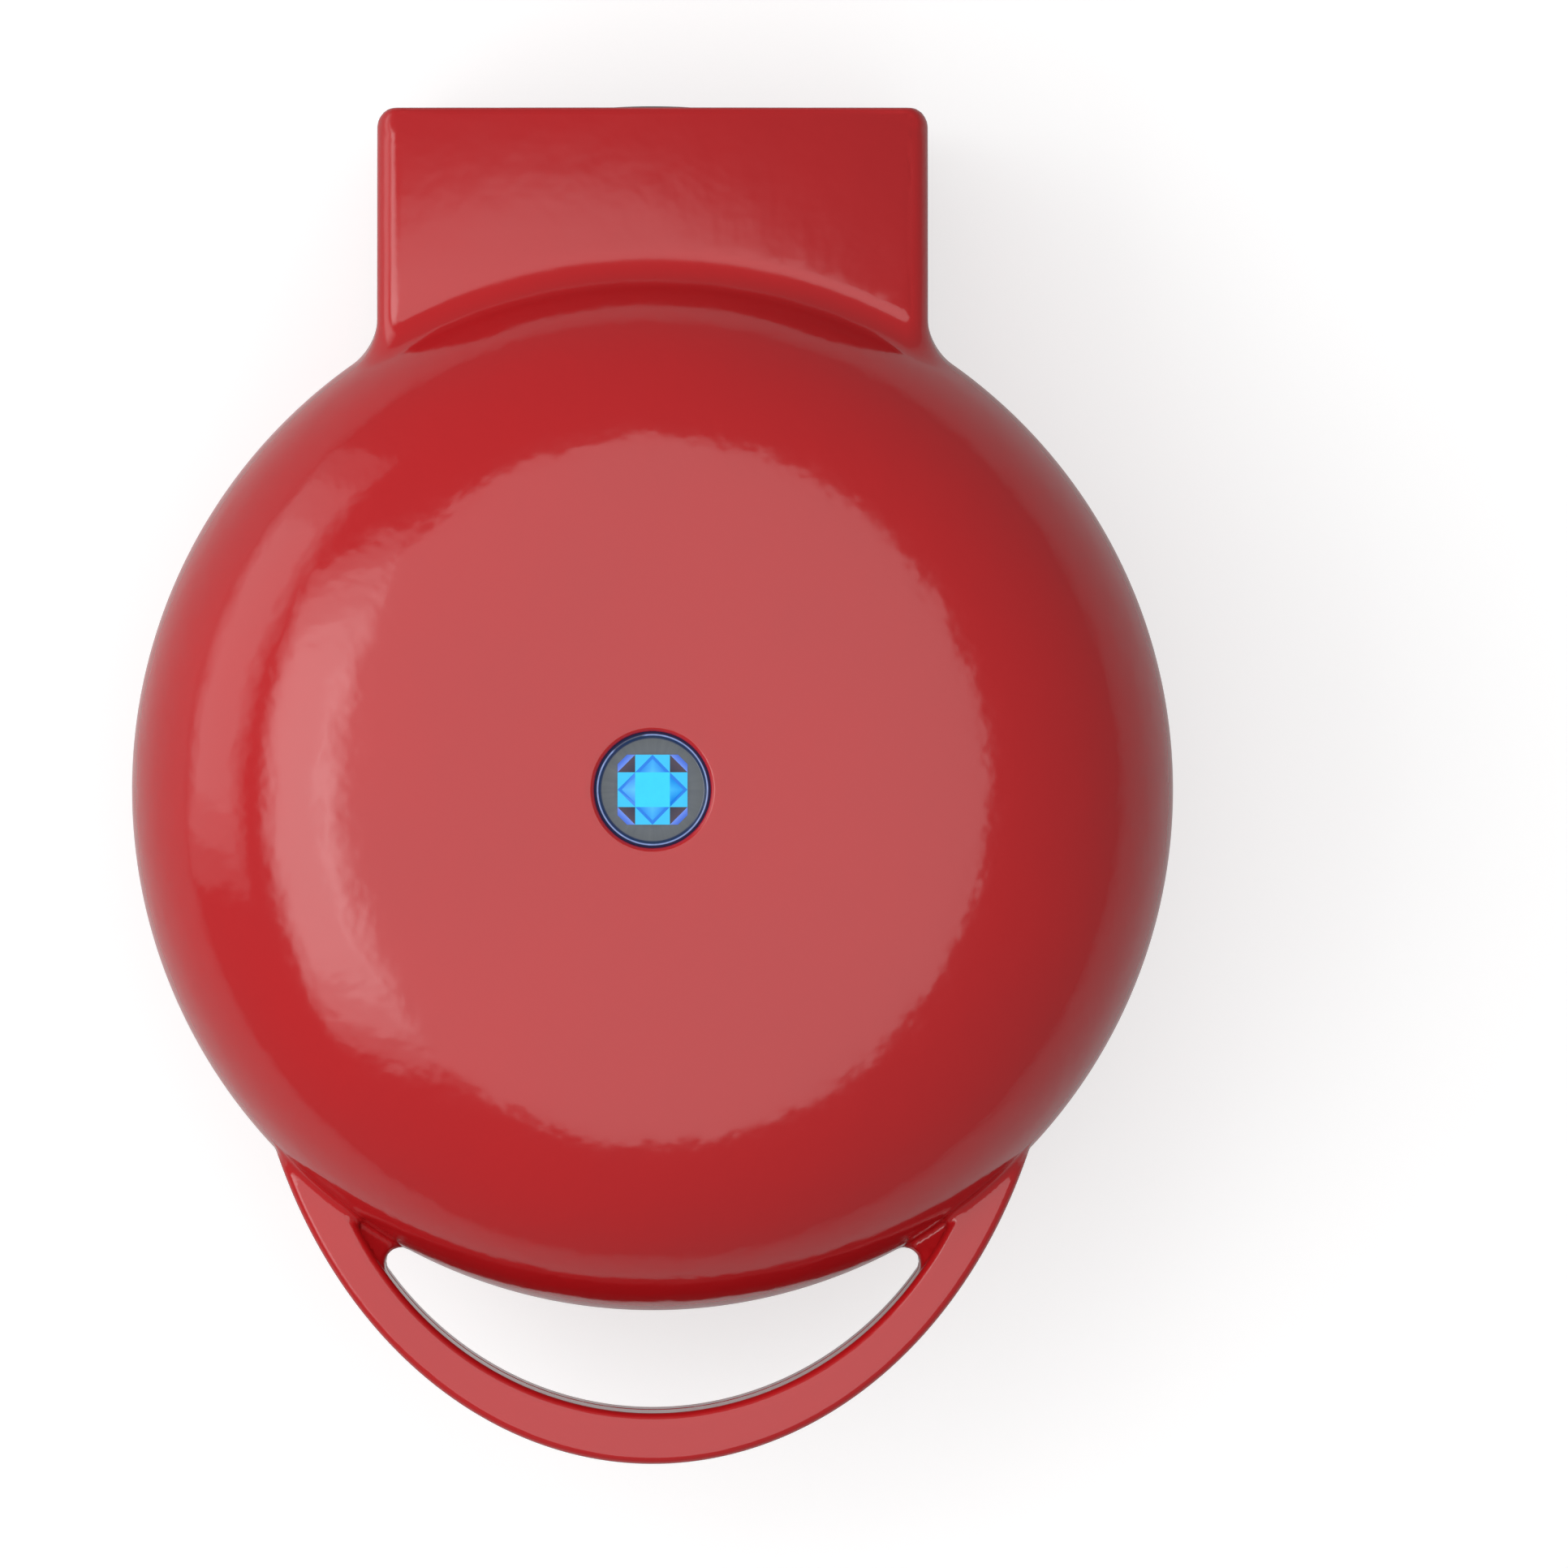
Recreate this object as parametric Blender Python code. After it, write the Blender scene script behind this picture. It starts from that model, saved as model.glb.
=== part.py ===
"""Mini waffle maker: a round clamshell cooker with a hinged lid, in metres with +Z up.

The body's centre line is the drawing's Z axis, the handle points along -Y and the hinge block along +Y.
Both halves are laid out from the parting plane: a piece's depth is its distance behind that plane,
upwards in the lid and downwards in the base.
"""

import math
from collections import namedtuple

import bmesh
import bpy
from mathutils import Matrix, Vector

MM = 0.001

# Fits
FIT = 0.3 * MM
RUNNING_FIT = 0.1 * MM
OVERRUN = 1.0 * MM
BITE = 0.5 * MM
MERGE = 0.001 * MM

# Body shells
BODY_RADIUS = 63.5 * MM
TOTAL_HEIGHT = 71.0 * MM
PARTING_HEIGHT = 37.0 * MM
FLOOR_HEIGHT = 6.0 * MM
WALL = 2.3 * MM
RIM_DEPTH = 0.4 * MM
SKIRT_HEIGHT = 5.0 * MM
CROWN_ROUNDNESS = 4
BOWL_CUT_SHARE = 0.895

# Hinge block and hinge
BLOCK_HALF_WIDTH = 33.5 * MM
BLOCK_DEPTH = 19.5 * MM
BLOCK_RISE = 14.0 * MM
BLOCK_WALL = 2.2 * MM
BLOCK_CORNER = 2.5 * MM
HINGE_SETBACK = 6.7 * MM
HINGE_RISE = 6.6 * MM
OPEN_ANGLE = math.radians(100)
BARREL_RADIUS = 4.2 * MM
LEAD_BORE_RADIUS = 2.6 * MM
LEAD_BORE_HALF = 18.0 * MM
PIN_RADIUS = 1.5 * MM
PIN_BOSS_RADIUS = 3.6 * MM
PIN_BOSS_HEIGHT = 2.0 * MM
PIN_SKIN = 0.6 * MM
ARM_MARGIN = 2.5 * MM
ARM_REACH = 14.0 * MM
ARM_CLEARANCE = 2.2 * MM
ARM_TOE = 1.0 * MM

# Windows in the hinge barrel for the leads
WINDOW_START = 3.0 * MM
WINDOW_END = 17.0 * MM
LOWER_WINDOW_TOP = 2.1 * MM
UPPER_WINDOW_FOOT = 1.9 * MM

# Handle loops
HANDLE_PROJECTION = 18.6 * MM
HANDLE_CENTRE = 19.8 * MM
HANDLE_INSET = 13.8 * MM
HANDLE_BAR = 6.2 * MM
HANDLE_SIDE_BAR = 9.1 * MM
GAP_SETBACK = 13.3 * MM
UPPER_HANDLE_THICKNESS = 9.6 * MM
LOWER_HANDLE_THICKNESS = 7.0 * MM
HANDLE_EDGE = 1.0 * MM

# Ring that carries the plate in the rim of each shell
RING_DEPTH = 0.6 * MM
RING_FLANGE = 2.5 * MM
RING_FLANGE_WIDTH = 7.0 * MM
RING_WALL = 1.6 * MM
RING_LEDGE = 2.0 * MM
RING_LEDGE_WIDTH = 3.0 * MM
RING_BOSS_RADIUS = 3.3 * MM
RING_BOSS_LENGTH = 8.5 * MM
RING_SCREW_RECESS = 1.5 * MM
RING_SCREW_LENGTH = 7.0 * MM

# Cooking plates
PLATE_RIM_DEPTH = 0.15 * MM
PLATE_RIM_WIDTH = 2.2 * MM
CAVITY_DEPTH = 8.05 * MM
CAVITY_DRAFT = 1.5 * MM
PLATE_FLOOR = 2.2 * MM
PEG_PITCH = 14.4 * MM
PEG_FOOT = 11.0 * MM
PEG_TIP = 6.5 * MM
PEG_HEIGHT = 5.5 * MM
PEG_MARGIN = 2.3 * MM
PEG_LEAST_DEPTH = 3.0 * MM
PLATE_BOSS_RADIUS = 3.4 * MM
PLATE_BOSS_MARGIN = 1.8 * MM
PLATE_SCREW_GRIP = 5.5 * MM

# Heater and its shield
HEATER_RADIUS = 3.25 * MM
HEATER_BEND = 4.5 * MM
HEATER_MARGIN = 2.35 * MM
HEATER_LEG_X = 7.8 * MM
HEATER_LEG_END = 8.0 * MM
HEATER_HOLE_CLEARANCE = 0.6 * MM
SHEET = 0.8 * MM
SHIELD_CLEARANCE = 0.8 * MM
SHIELD_STEP = 3.1 * MM
SHIELD_LAP = 2.4 * MM

# Screws
SMALL_HEAD_RADIUS = 1.8 * MM
SMALL_HEAD_HEIGHT = 1.1 * MM
SMALL_SHANK_RADIUS = 1.0 * MM
LARGE_HEAD_RADIUS = 2.9 * MM
LARGE_HEAD_HEIGHT = 2.0 * MM
LARGE_SHANK_RADIUS = 1.4 * MM
HEAD_EDGE_SHARE = 0.6

# Indicator
LENS_RADIUS = 7.3 * MM
LENS_RECESS = 0.4 * MM
LENS_LIP = 0.6 * MM
LENS_LIP_WIDTH = 0.6 * MM
LENS_FLANGE_RADIUS = 9.3 * MM
LENS_FLANGE = 1.5 * MM
JEWEL_HALF_WIDTH = 4.3 * MM
JEWEL_TABLE_HALF_WIDTH = 2.15 * MM
JEWEL_CORNER = 1.3 * MM
JEWEL_TABLE_CORNER = 0.6 * MM
LAMP_RADIUS = 2.5 * MM
LAMP_LENGTH = 6.5 * MM
HOLDER_WALL = 1.3 * MM
HOLDER_FLANGE = 1.2 * MM
HOLDER_FLANGE_RADIUS = 6.0 * MM
HOLDER_FLOOR = 2.4 * MM

# Thermostat, its bracket and the fuse
THERMOSTAT_RADIUS = 8.3 * MM
THERMOSTAT_NECK = 7.0 * MM
THERMOSTAT_LENGTH = 11.8 * MM
THERMOSTAT_HOLE = 9.0 * MM
BRACKET_HALF_LENGTH = 21.0 * MM
BRACKET_HALF_WIDTH = 9.5 * MM
BRACKET_THICKNESS = 1.0 * MM
RIVET_PLACE = 16.0 * MM
RIVET_HEAD_RADIUS = 2.0 * MM
RIVET_HEAD_HEIGHT = 1.0 * MM
RIVET_RADIUS = 1.2 * MM
RIVET_TAIL = 1.0 * MM
FUSE_RADIUS = 1.9 * MM
FUSE_HALF_LENGTH = 7.0 * MM
FUSE_PLACE = 24.0 * MM

# Terminal block
TERMINAL_HALF_WIDTH = 10.0 * MM
TERMINAL_DEPTH = 9.0 * MM
TERMINAL_HEIGHT = 8.4 * MM
TERMINAL_SETBACK = 11.5 * MM
TERMINAL_BOSS_RADIUS = 3.2 * MM
TERMINAL_BOSS_HEIGHT = 4.0 * MM
TERMINAL_SCREW_GRIP = 3.0 * MM

# Cord gland in the back wall
GLAND_RISE = 14.0 * MM
GLAND_NECK_RADIUS = 4.7 * MM
GLAND_FLANGE_RADIUS = 6.4 * MM
GLAND_FLANGE = 1.0 * MM
GLAND_LIP_RADIUS = 5.8 * MM
GLAND_LIP = 1.5 * MM
GLAND_BORE_RADIUS = 3.4 * MM

# Leads and wires
LEAD_RADIUS = 1.6 * MM
WIRE_RADIUS = 0.9 * MM
LEAD_STEPS = 3
WIRE_SLOT_HALF_WIDTH = 11.0 * MM
WIRE_SLOT_LOW = 6.5 * MM
WIRE_SLOT_HIGH = 13.5 * MM
WIRE_LEVEL = 10.0 * MM
LEAD_HOLE_RADIUS = 3.2 * MM
LID_LEAD_X = 14.6 * MM
LID_LEAD_RISE = 3.0 * MM
LOWER_LEAD_X = 15.5 * MM
LOWER_LEAD_Y = 9.0 * MM
LOWER_LEAD_DROP = 8.4 * MM

# Routes between the ends of the leads and wires: places from the hinge's axis, from the shield's back,
# from the terminal block's top, and in the drawing itself
UPPER_LEAD_FROM_HINGE = (
    (5.5 * MM, 0.0, 0.0), (9.0 * MM, -1.2 * MM, 0.3 * MM), (12.3 * MM, -4.2 * MM, 1.1 * MM),
    (14.2 * MM, -8.0 * MM, 2.0 * MM), (14.8 * MM, -13.3 * MM, 2.4 * MM), (14.2 * MM, -19.6 * MM, 4.0 * MM),
    (14.0 * MM, -21.7 * MM, 7.4 * MM), (13.5 * MM, -25.8 * MM, 11.2 * MM),
)
UPPER_LEAD_ON_SHIELD = ((12.0 * MM, -31.0 * MM, 0.5 * MM), (9.4 * MM, -36.5 * MM, 0.2 * MM))
LAMP_WIRE_ON_SHIELD = ((-4.5 * MM, 16.0 * MM, 0.0), (-1.0 * MM, 10.0 * MM, 0.8 * MM))
LAMP_WIRE_END = 1.5 * MM
LOWER_LEAD_FROM_TERMINAL = (
    (-7.0 * MM, 0.0, FIT), (-7.0 * MM, 0.0, 3.0 * MM), (-9.5 * MM, 0.0, 5.5 * MM), (-14.0 * MM, 2.0 * MM, 10.0 * MM),
)
LOWER_LEAD_FROM_HINGE = (
    (-15.3 * MM, -8.5 * MM, -5.6 * MM), (-14.3 * MM, -6.7 * MM, -3.3 * MM), (-12.3 * MM, -4.1 * MM, -1.4 * MM),
    (-9.0 * MM, -1.2 * MM, -0.3 * MM), (-5.5 * MM, 0.0, 0.0), (-FIT / 2, 0.0, 0.0),
)
TERMINAL_WIRE_X = 6.0 * MM
TERMINAL_WIRE_RUN = 4.0 * MM
LIVE_WIRE_ROUTE = (
    (-14.0 * MM, 40.0 * MM, 14.2 * MM), (-14.0 * MM, 24.0 * MM, 13.4 * MM), (-11.5 * MM, 5.0 * MM, 12.8 * MM),
    (-12.0 * MM, -14.0 * MM, 13.2 * MM), (-11.5 * MM, -22.5 * MM, 15.5 * MM),
)
THERMOSTAT_WIRE_ROUTE = (
    (10.8 * MM, -22.6 * MM, 15.0 * MM), (8.0 * MM, -15.0 * MM, 14.6 * MM), (1.5 * MM, -11.0 * MM, 15.0 * MM),
)
HEATER_WIRE_ROUTE = ((-1.5 * MM, 11.5 * MM, 15.0 * MM), (-6.5 * MM, 20.0 * MM, 14.8 * MM))
NEUTRAL_WIRE_ROUTE = ((7.0 * MM, 46.0 * MM, 15.6 * MM),)
THERMOSTAT_WIRE_HEIGHT = 15.3 * MM
HEATER_WIRE_STUB = 2.5 * MM

# Bottom cover, its screws, and the feet
COVER_RADIUS = 37.5 * MM
COVER_THICKNESS = 2.2 * MM
COVER_LAP = 5.5 * MM
COVER_SCREW_INSET = 2.5 * MM
COVER_BOSS_RADIUS = 3.0 * MM
COVER_BOSS_HEIGHT = 5.7 * MM
COVER_SCREW_GRIP = 6.0 * MM
COVER_SCREW_RECESS = 1.4 * MM
VENT_COUNT = 6
VENT_HALF_LENGTH = 13.0 * MM
VENT_HALF_WIDTH = 1.2 * MM
VENT_PITCH = 6.0 * MM
FOOT_RADIUS = 6.0 * MM
FOOT_HEIGHT = 3.0 * MM
FOOT_EDGE = 0.6 * MM
FOOT_PEG_RADIUS = 2.2 * MM
FOOT_PEG_LENGTH = 4.5 * MM
FOOT_PAD_RADIUS = 6.5 * MM
FOOT_PAD_TOP = 5.0 * MM
FRONT_FOOT_X = 27.0 * MM
FRONT_FOOT_Y = 36.0 * MM
REAR_FOOT_X = 24.0 * MM
REAR_FOOT_INSET = 11.0 * MM

# Screw places round the body, in degrees
RING_SCREW_ANGLES = (45, 135, 225, 315)
PLATE_SCREW_ANGLES = (30, 150, 270)
COVER_SCREW_ANGLES = (45, 135, 225, 315)

# Facet counts
SHELL_SIDES = 48
INNER_SIDES = 32
PEG_CONE_SIDES = 32
SMALL_SIDES = 12
PIN_SIDES = 16
SCREW_SIDES = 8
CROWN_STEPS = 7
HANDLE_STEPS = 20
CORNER_STEPS = 3
ARC_STEPS = 6
HEATER_STEPS = 20

# Places that several pieces share
BLOCK_REAR = BODY_RADIUS + BLOCK_DEPTH
HINGE_Y = BLOCK_REAR - HINGE_SETBACK
HINGE_Z = PARTING_HEIGHT + HINGE_RISE
SHELL_INNER = BODY_RADIUS - WALL
BLOCK_INNER_HALF = BLOCK_HALF_WIDTH - BLOCK_WALL
BARREL_HALF = BLOCK_INNER_HALF - PIN_BOSS_HEIGHT - FIT
HANDLE_HALF_WIDTH = BODY_RADIUS - HANDLE_INSET
GAP_CENTRE = HANDLE_CENTRE + GAP_SETBACK
GAP_HALF_WIDTH = HANDLE_HALF_WIDTH - HANDLE_SIDE_BAR
RING_OUTER = SHELL_INNER - FIT
SKIRT_OUTER = RING_OUTER - RING_FLANGE_WIDTH
SKIRT_INNER = SKIRT_OUTER - RING_WALL
LEDGE_INNER = SKIRT_INNER - RING_LEDGE_WIDTH
RING_SCREW_CIRCLE = SHELL_INNER - RING_BOSS_RADIUS + BITE
PLATE_RADIUS = SKIRT_INNER - FIT
MOUTH_RADIUS = PLATE_RADIUS - PLATE_RIM_WIDTH
CAVITY_RADIUS = MOUTH_RADIUS - CAVITY_DRAFT
CUP_RADIUS = LEDGE_INNER - SHIELD_STEP
PLATE_SCREW_CIRCLE = CUP_RADIUS - PLATE_BOSS_RADIUS - PLATE_BOSS_MARGIN
HEATER_RING = PLATE_SCREW_CIRCLE - PLATE_BOSS_RADIUS - HEATER_MARGIN - HEATER_RADIUS
HEATER_HALF_GAP = math.atan2(HEATER_BEND, HEATER_RING) + math.asin(
    HEATER_LEG_X / math.hypot(HEATER_RING, HEATER_BEND)
)

# Depths behind the parting plane
RING_BACK = RING_DEPTH + RING_FLANGE
CAVITY_FLOOR = PLATE_RIM_DEPTH + CAVITY_DEPTH
PEG_TIPS = CAVITY_FLOOR - PEG_HEIGHT
PLATE_BACK = CAVITY_FLOOR + PLATE_FLOOR
LEDGE_FACE = PLATE_BACK + FIT
LEDGE_BACK = LEDGE_FACE + RING_LEDGE
SHIELD_FLANGE = LEDGE_BACK + FIT
HEATER_DEPTH = PLATE_BACK + FIT + HEATER_RADIUS
SHIELD_FLOOR = HEATER_DEPTH + HEATER_RADIUS + SHIELD_CLEARANCE
SHIELD_BACK = SHIELD_FLOOR + SHEET
HEATER_END = HEATER_DEPTH + HEATER_LEG_END
BASE_RIM = PARTING_HEIGHT - RIM_DEPTH
INNER_FLOOR = FLOOR_HEIGHT + WALL
GLAND_HEIGHT = FLOOR_HEIGHT + GLAND_RISE

# The drawing moves back so that the whole object is centred over its origin
FRONT_REACH = BODY_RADIUS + HANDLE_PROJECTION
REAR_REACH = BLOCK_REAR + FIT + GLAND_FLANGE
CENTRE_SHIFT = (FRONT_REACH - REAR_REACH) / 2

Half = namedtuple("Half", "name sign carrier")
Carrier = namedtuple("Carrier", "empty origin")


def level(half, depth):
    """Height of a depth behind the parting plane in one half."""
    return PARTING_HEIGHT + half.sign * depth


def spread(start, end, steps):
    """Evenly spaced values from start to end, both included."""
    return [start + (end - start) * i / steps for i in range(steps + 1)]


def arc(centre, radius, start, end, steps):
    """Points along a circle's arc, angles in radians."""
    return [
        (centre[0] + radius * math.cos(a), centre[1] + radius * math.sin(a))
        for a in spread(start, end, steps)
    ]


def ring_places(radius, angles):
    """Points on a circle about the body's centre line at angles in degrees."""
    return [(radius * math.cos(math.radians(a)), radius * math.sin(math.radians(a))) for a in angles]


def smooth_route(points, steps):
    """Catmull-Rom curve through hand-chosen points."""
    chosen = [Vector(p) for p in points]
    padded = [2 * chosen[0] - chosen[1]] + chosen + [2 * chosen[-1] - chosen[-2]]
    route = []
    for i in range(1, len(padded) - 2):
        before, start, end, after = padded[i - 1 : i + 3]
        for t in spread(0, 1, steps)[:-1]:
            route.append(
                0.5
                * (
                    2 * start
                    + (end - before) * t
                    + (2 * before - 5 * start + 4 * end - after) * t**2
                    + (3 * start - before - 3 * end + after) * t**3
                )
            )
    return route + [chosen[-1]]


def finish(name, colour, roughness, metallic=0.0):
    """Principled material of one finish."""
    made = bpy.data.materials.new(name)
    made.use_nodes = True
    shader = made.node_tree.nodes["Principled BSDF"]
    shader.inputs["Base Color"].default_value = (*colour, 1.0)
    shader.inputs["Roughness"].default_value = roughness
    shader.inputs["Metallic"].default_value = metallic
    return made


def make_finishes():
    """Every finish of the object by its plain name."""
    return {
        "gloss red": finish("gloss_red_plastic", (0.52, 0.012, 0.018), 0.18),
        "black plastic": finish("black_plastic", (0.025, 0.025, 0.027), 0.45),
        "non-stick": finish("non_stick_coating", (0.035, 0.034, 0.034), 0.38, 0.3),
        "steel": finish("bright_steel", (0.62, 0.62, 0.63), 0.28, 1.0),
        "heater sheath": finish("heater_sheath", (0.35, 0.33, 0.31), 0.45, 0.9),
        "aluminised sheet": finish("aluminised_sheet", (0.7, 0.71, 0.72), 0.35, 1.0),
        "rubber": finish("rubber", (0.03, 0.03, 0.03), 0.8),
        "lens": finish("blue_lens", (0.12, 0.5, 0.8), 0.08),
        "lamp": finish("lamp", (0.3, 0.75, 1.0), 0.2),
        "sleeve": finish("woven_sleeve", (0.75, 0.73, 0.66), 0.85),
        "ceramic": finish("ceramic", (0.82, 0.8, 0.74), 0.55),
        "wire": finish("wire_insulation", (0.6, 0.6, 0.58), 0.6),
    }


def add_object(name, data, carrier, surface, place=(0, 0, 0), turn=None):
    """Put a mesh or curve on its carrier; one without a surface is a cutter or a guide."""
    piece = bpy.data.objects.new(name, data)
    bpy.context.collection.objects.link(piece)
    piece.parent = carrier.empty
    piece.location = Vector(place) - carrier.origin
    if turn is not None:
        piece.rotation_mode = "QUATERNION"
        piece.rotation_quaternion = turn
    if surface is None:
        piece.hide_render = True
        piece.display_type = "WIRE"
    elif not data.materials:
        data.materials.append(surface)
    return piece


def close_mesh(name, shape):
    """Turn a bmesh into a mesh with its faces pointing out."""
    bmesh.ops.recalc_face_normals(shape, faces=shape.faces)
    data = bpy.data.meshes.new(name)
    shape.to_mesh(data)
    shape.free()
    data.shade_smooth()
    data.set_sharp_from_angle(angle=math.radians(35))
    return data


def turned_mesh(name, profiles, sides):
    """Solids of revolution about Z from closed loops of (radius, height)."""
    shape = bmesh.new()
    for profile in profiles:
        points = [shape.verts.new((r, 0, h)) for r, h in profile]
        pairs = zip(points, points[1:] + points[:1])
        edges = [shape.edges.new(p) for p in pairs if p[0].co.x + p[1].co.x > MERGE]
        bmesh.ops.spin(
            shape, geom=points + edges, cent=(0, 0, 0), axis=(0, 0, 1),
            angle=2 * math.pi, steps=sides, use_merge=True,
        )
    bmesh.ops.remove_doubles(shape, verts=shape.verts, dist=MERGE)
    return close_mesh(name, shape)


def turned(name, profile, sides, carrier, surface=None, place=(0, 0, 0), axis=(0, 0, 1)):
    """One turned piece, its own Z axis laid along axis at place."""
    turn = Vector((0, 0, 1)).rotation_difference(Vector(axis))
    return add_object(name, turned_mesh(name, [profile], sides), carrier, surface, place, turn)


def rod(radius, low, high):
    """Profile of a plain cylinder."""
    return [(0, low), (radius, low), (radius, high), (0, high)]


def prism_mesh(name, outlines, low, high, plane="XY"):
    """Closed outlines extruded along the axis that their plane leaves out."""
    lay = {
        "XY": lambda u, v, w: (u, v, w),
        "YZ": lambda u, v, w: (w, u, v),
        "XZ": lambda u, v, w: (u, w, v),
    }[plane]
    shape = bmesh.new()
    for outline in outlines:
        bottom = [shape.verts.new(lay(u, v, low)) for u, v in outline]
        top = [shape.verts.new(lay(u, v, high)) for u, v in outline]
        shape.faces.new(bottom)
        shape.faces.new(top)
        for i, start in enumerate(bottom):
            j = (i + 1) % len(bottom)
            shape.faces.new((start, bottom[j], top[j], top[i]))
    return close_mesh(name, shape)


def prism(name, outline, low, high, carrier, surface=None, plane="XY"):
    """One extruded piece."""
    return add_object(name, prism_mesh(name, [outline], low, high, plane), carrier, surface)


def rectangle(left, right, low, high):
    """Corners of an upright rectangle."""
    return [(left, low), (right, low), (right, high), (left, high)]


def rods(name, places, radius, low, high, sides, carrier):
    """Upright cylinders at several places, as one cutter or guide."""
    shape = bmesh.new()
    for x, y in places:
        bmesh.ops.create_cone(
            shape, cap_ends=True, segments=sides, radius1=radius, radius2=radius,
            depth=high - low, matrix=Matrix.Translation((x, y, (low + high) / 2)),
        )
    return add_object(name, close_mesh(name, shape), carrier, None)


def bevel(piece, width, angle=math.radians(50)):
    """Round the sharp edges of a guide."""
    edge = piece.modifiers.new("edge", "BEVEL")
    edge.width = width
    edge.segments = 1
    edge.limit_method = "ANGLE"
    edge.angle_limit = angle


def combine(piece, operation, tool):
    """Boolean of a piece with a cutter or guide."""
    step = piece.modifiers.new(tool.name, "BOOLEAN")
    step.operation = operation
    step.object = tool


def tube(name, route, radius, sides_step, carrier, surface):
    """Round tube with filled ends along a list of points."""
    data = bpy.data.curves.new(name, "CURVE")
    data.dimensions = "3D"
    data.bevel_depth = radius
    data.bevel_resolution = sides_step
    data.use_fill_caps = True
    line = data.splines.new("POLY")
    line.points.add(len(route) - 1)
    for point, place in zip(line.points, route):
        point.co = (*place, 1.0)
    return add_object(name, data, carrier, surface)


def screw_profile(head_radius, head_height, shank_radius, length):
    """Pan head from 0 up to its height, with the shank below."""
    crown = head_height * HEAD_EDGE_SHARE
    return [
        (0, -length), (shank_radius, -length), (shank_radius, 0), (head_radius, 0),
        (head_radius, crown), (head_radius - (head_height - crown), head_height), (0, head_height),
    ]


def small_screw(name, length, carrier, surface, place, axis):
    """Small pan-head screw, its head's underside at place and its head towards axis."""
    profile = screw_profile(SMALL_HEAD_RADIUS, SMALL_HEAD_HEIGHT, SMALL_SHANK_RADIUS, length)
    return turned(name, profile, SCREW_SIDES, carrier, surface, place, axis)


def large_screw(name, length, carrier, surface, place, axis):
    """Large pan-head screw, placed as the small one."""
    profile = screw_profile(LARGE_HEAD_RADIUS, LARGE_HEAD_HEIGHT, LARGE_SHANK_RADIUS, length)
    return turned(name, profile, SCREW_SIDES, carrier, surface, place, axis)


def crown_curve(radius, height, cut_share=1.0):
    """Superellipse quarter from the skirt to the crown, or to where the cut share of its height ends it."""
    curve = []
    for t in spread(0, math.asin(cut_share), CROWN_STEPS):
        across = max(math.cos(t), 0) ** (2 / CROWN_ROUNDNESS)
        curve.append((0 if cut_share == 1.0 and t == math.pi / 2 else radius * across, height * math.sin(t)))
    return curve


def shell_profile(half, radius, rim_depth, crown_height, cut_share):
    """Closed half profile of a shell filled solid: rim, upright skirt and crown."""
    skirt_depth = RIM_DEPTH + SKIRT_HEIGHT
    curve = [(r, level(half, skirt_depth + h)) for r, h in crown_curve(radius, crown_height, cut_share)]
    profile = [(0, level(half, rim_depth)), (radius, level(half, rim_depth))] + curve
    if cut_share < 1.0:
        profile.append((0, curve[-1][1]))
    return profile


def ellipse_meeting(half_width, centre, half_length, reach):
    """Angle from the X axis at which an ellipse about (0, -centre) is reach away from the body's centre.

    With s its sine, a s^2 - b s + c = 0, and 2 c / (b + sqrt(b^2 - 4 a c)) is the root that the arc crosses first.
    """
    a = half_length**2 - half_width**2
    b = 2 * centre * half_length
    c = half_width**2 + centre**2 - reach**2
    return math.asin(2 * c / (b + math.sqrt(b**2 - 4 * a * c)))


def half_loop(half_width, centre, bottom, reach):
    """Ellipse arc round the front, from inside the body's wall on +X to the same place on -X."""
    half_length = bottom - centre
    start = ellipse_meeting(half_width, centre, half_length, reach)
    return [
        (half_width * math.cos(a), -centre + half_length * math.sin(a))
        for a in spread(start, -math.pi - start, HANDLE_STEPS)
    ]


def handle_loop(half, thickness):
    """Guide of one half's loop handle: the band between two ellipses, rooted in the shell's wall."""
    reach = SHELL_INNER - OVERRUN
    outer = half_loop(HANDLE_HALF_WIDTH, HANDLE_CENTRE, FRONT_REACH, reach)
    inner = half_loop(GAP_HALF_WIDTH, GAP_CENTRE, FRONT_REACH - HANDLE_BAR, reach)
    ends = sorted((level(half, RIM_DEPTH), level(half, RIM_DEPTH + thickness)))
    band = prism(f"{half.name}_handle_band", outer + inner[::-1], *ends, half.carrier)
    bevel(band, HANDLE_EDGE)
    return band


def block_plan(root):
    """Plan outline of the hinge block with rounded rear corners."""
    centre_x, centre_y = BLOCK_HALF_WIDTH - BLOCK_CORNER, BLOCK_REAR - BLOCK_CORNER
    right = arc((centre_x, centre_y), BLOCK_CORNER, 0, math.pi / 2, CORNER_STEPS)
    left = arc((-centre_x, centre_y), BLOCK_CORNER, math.pi / 2, math.pi, CORNER_STEPS)
    return [(BLOCK_HALF_WIDTH, root)] + right + left + [(-BLOCK_HALF_WIDTH, root)]


def lid_block_section():
    """Cross section of the lid's block, its upper edges rounded."""
    low, top = BASE_RIM - OVERRUN, PARTING_HEIGHT + BLOCK_RISE
    centre_x, centre_z = BLOCK_HALF_WIDTH - BLOCK_CORNER, top - BLOCK_CORNER
    right = arc((centre_x, centre_z), BLOCK_CORNER, 0, math.pi / 2, CORNER_STEPS)
    left = arc((-centre_x, centre_z), BLOCK_CORNER, math.pi / 2, math.pi, CORNER_STEPS)
    return [(BLOCK_HALF_WIDTH, low)] + right + left + [(-BLOCK_HALF_WIDTH, low)]


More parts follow.
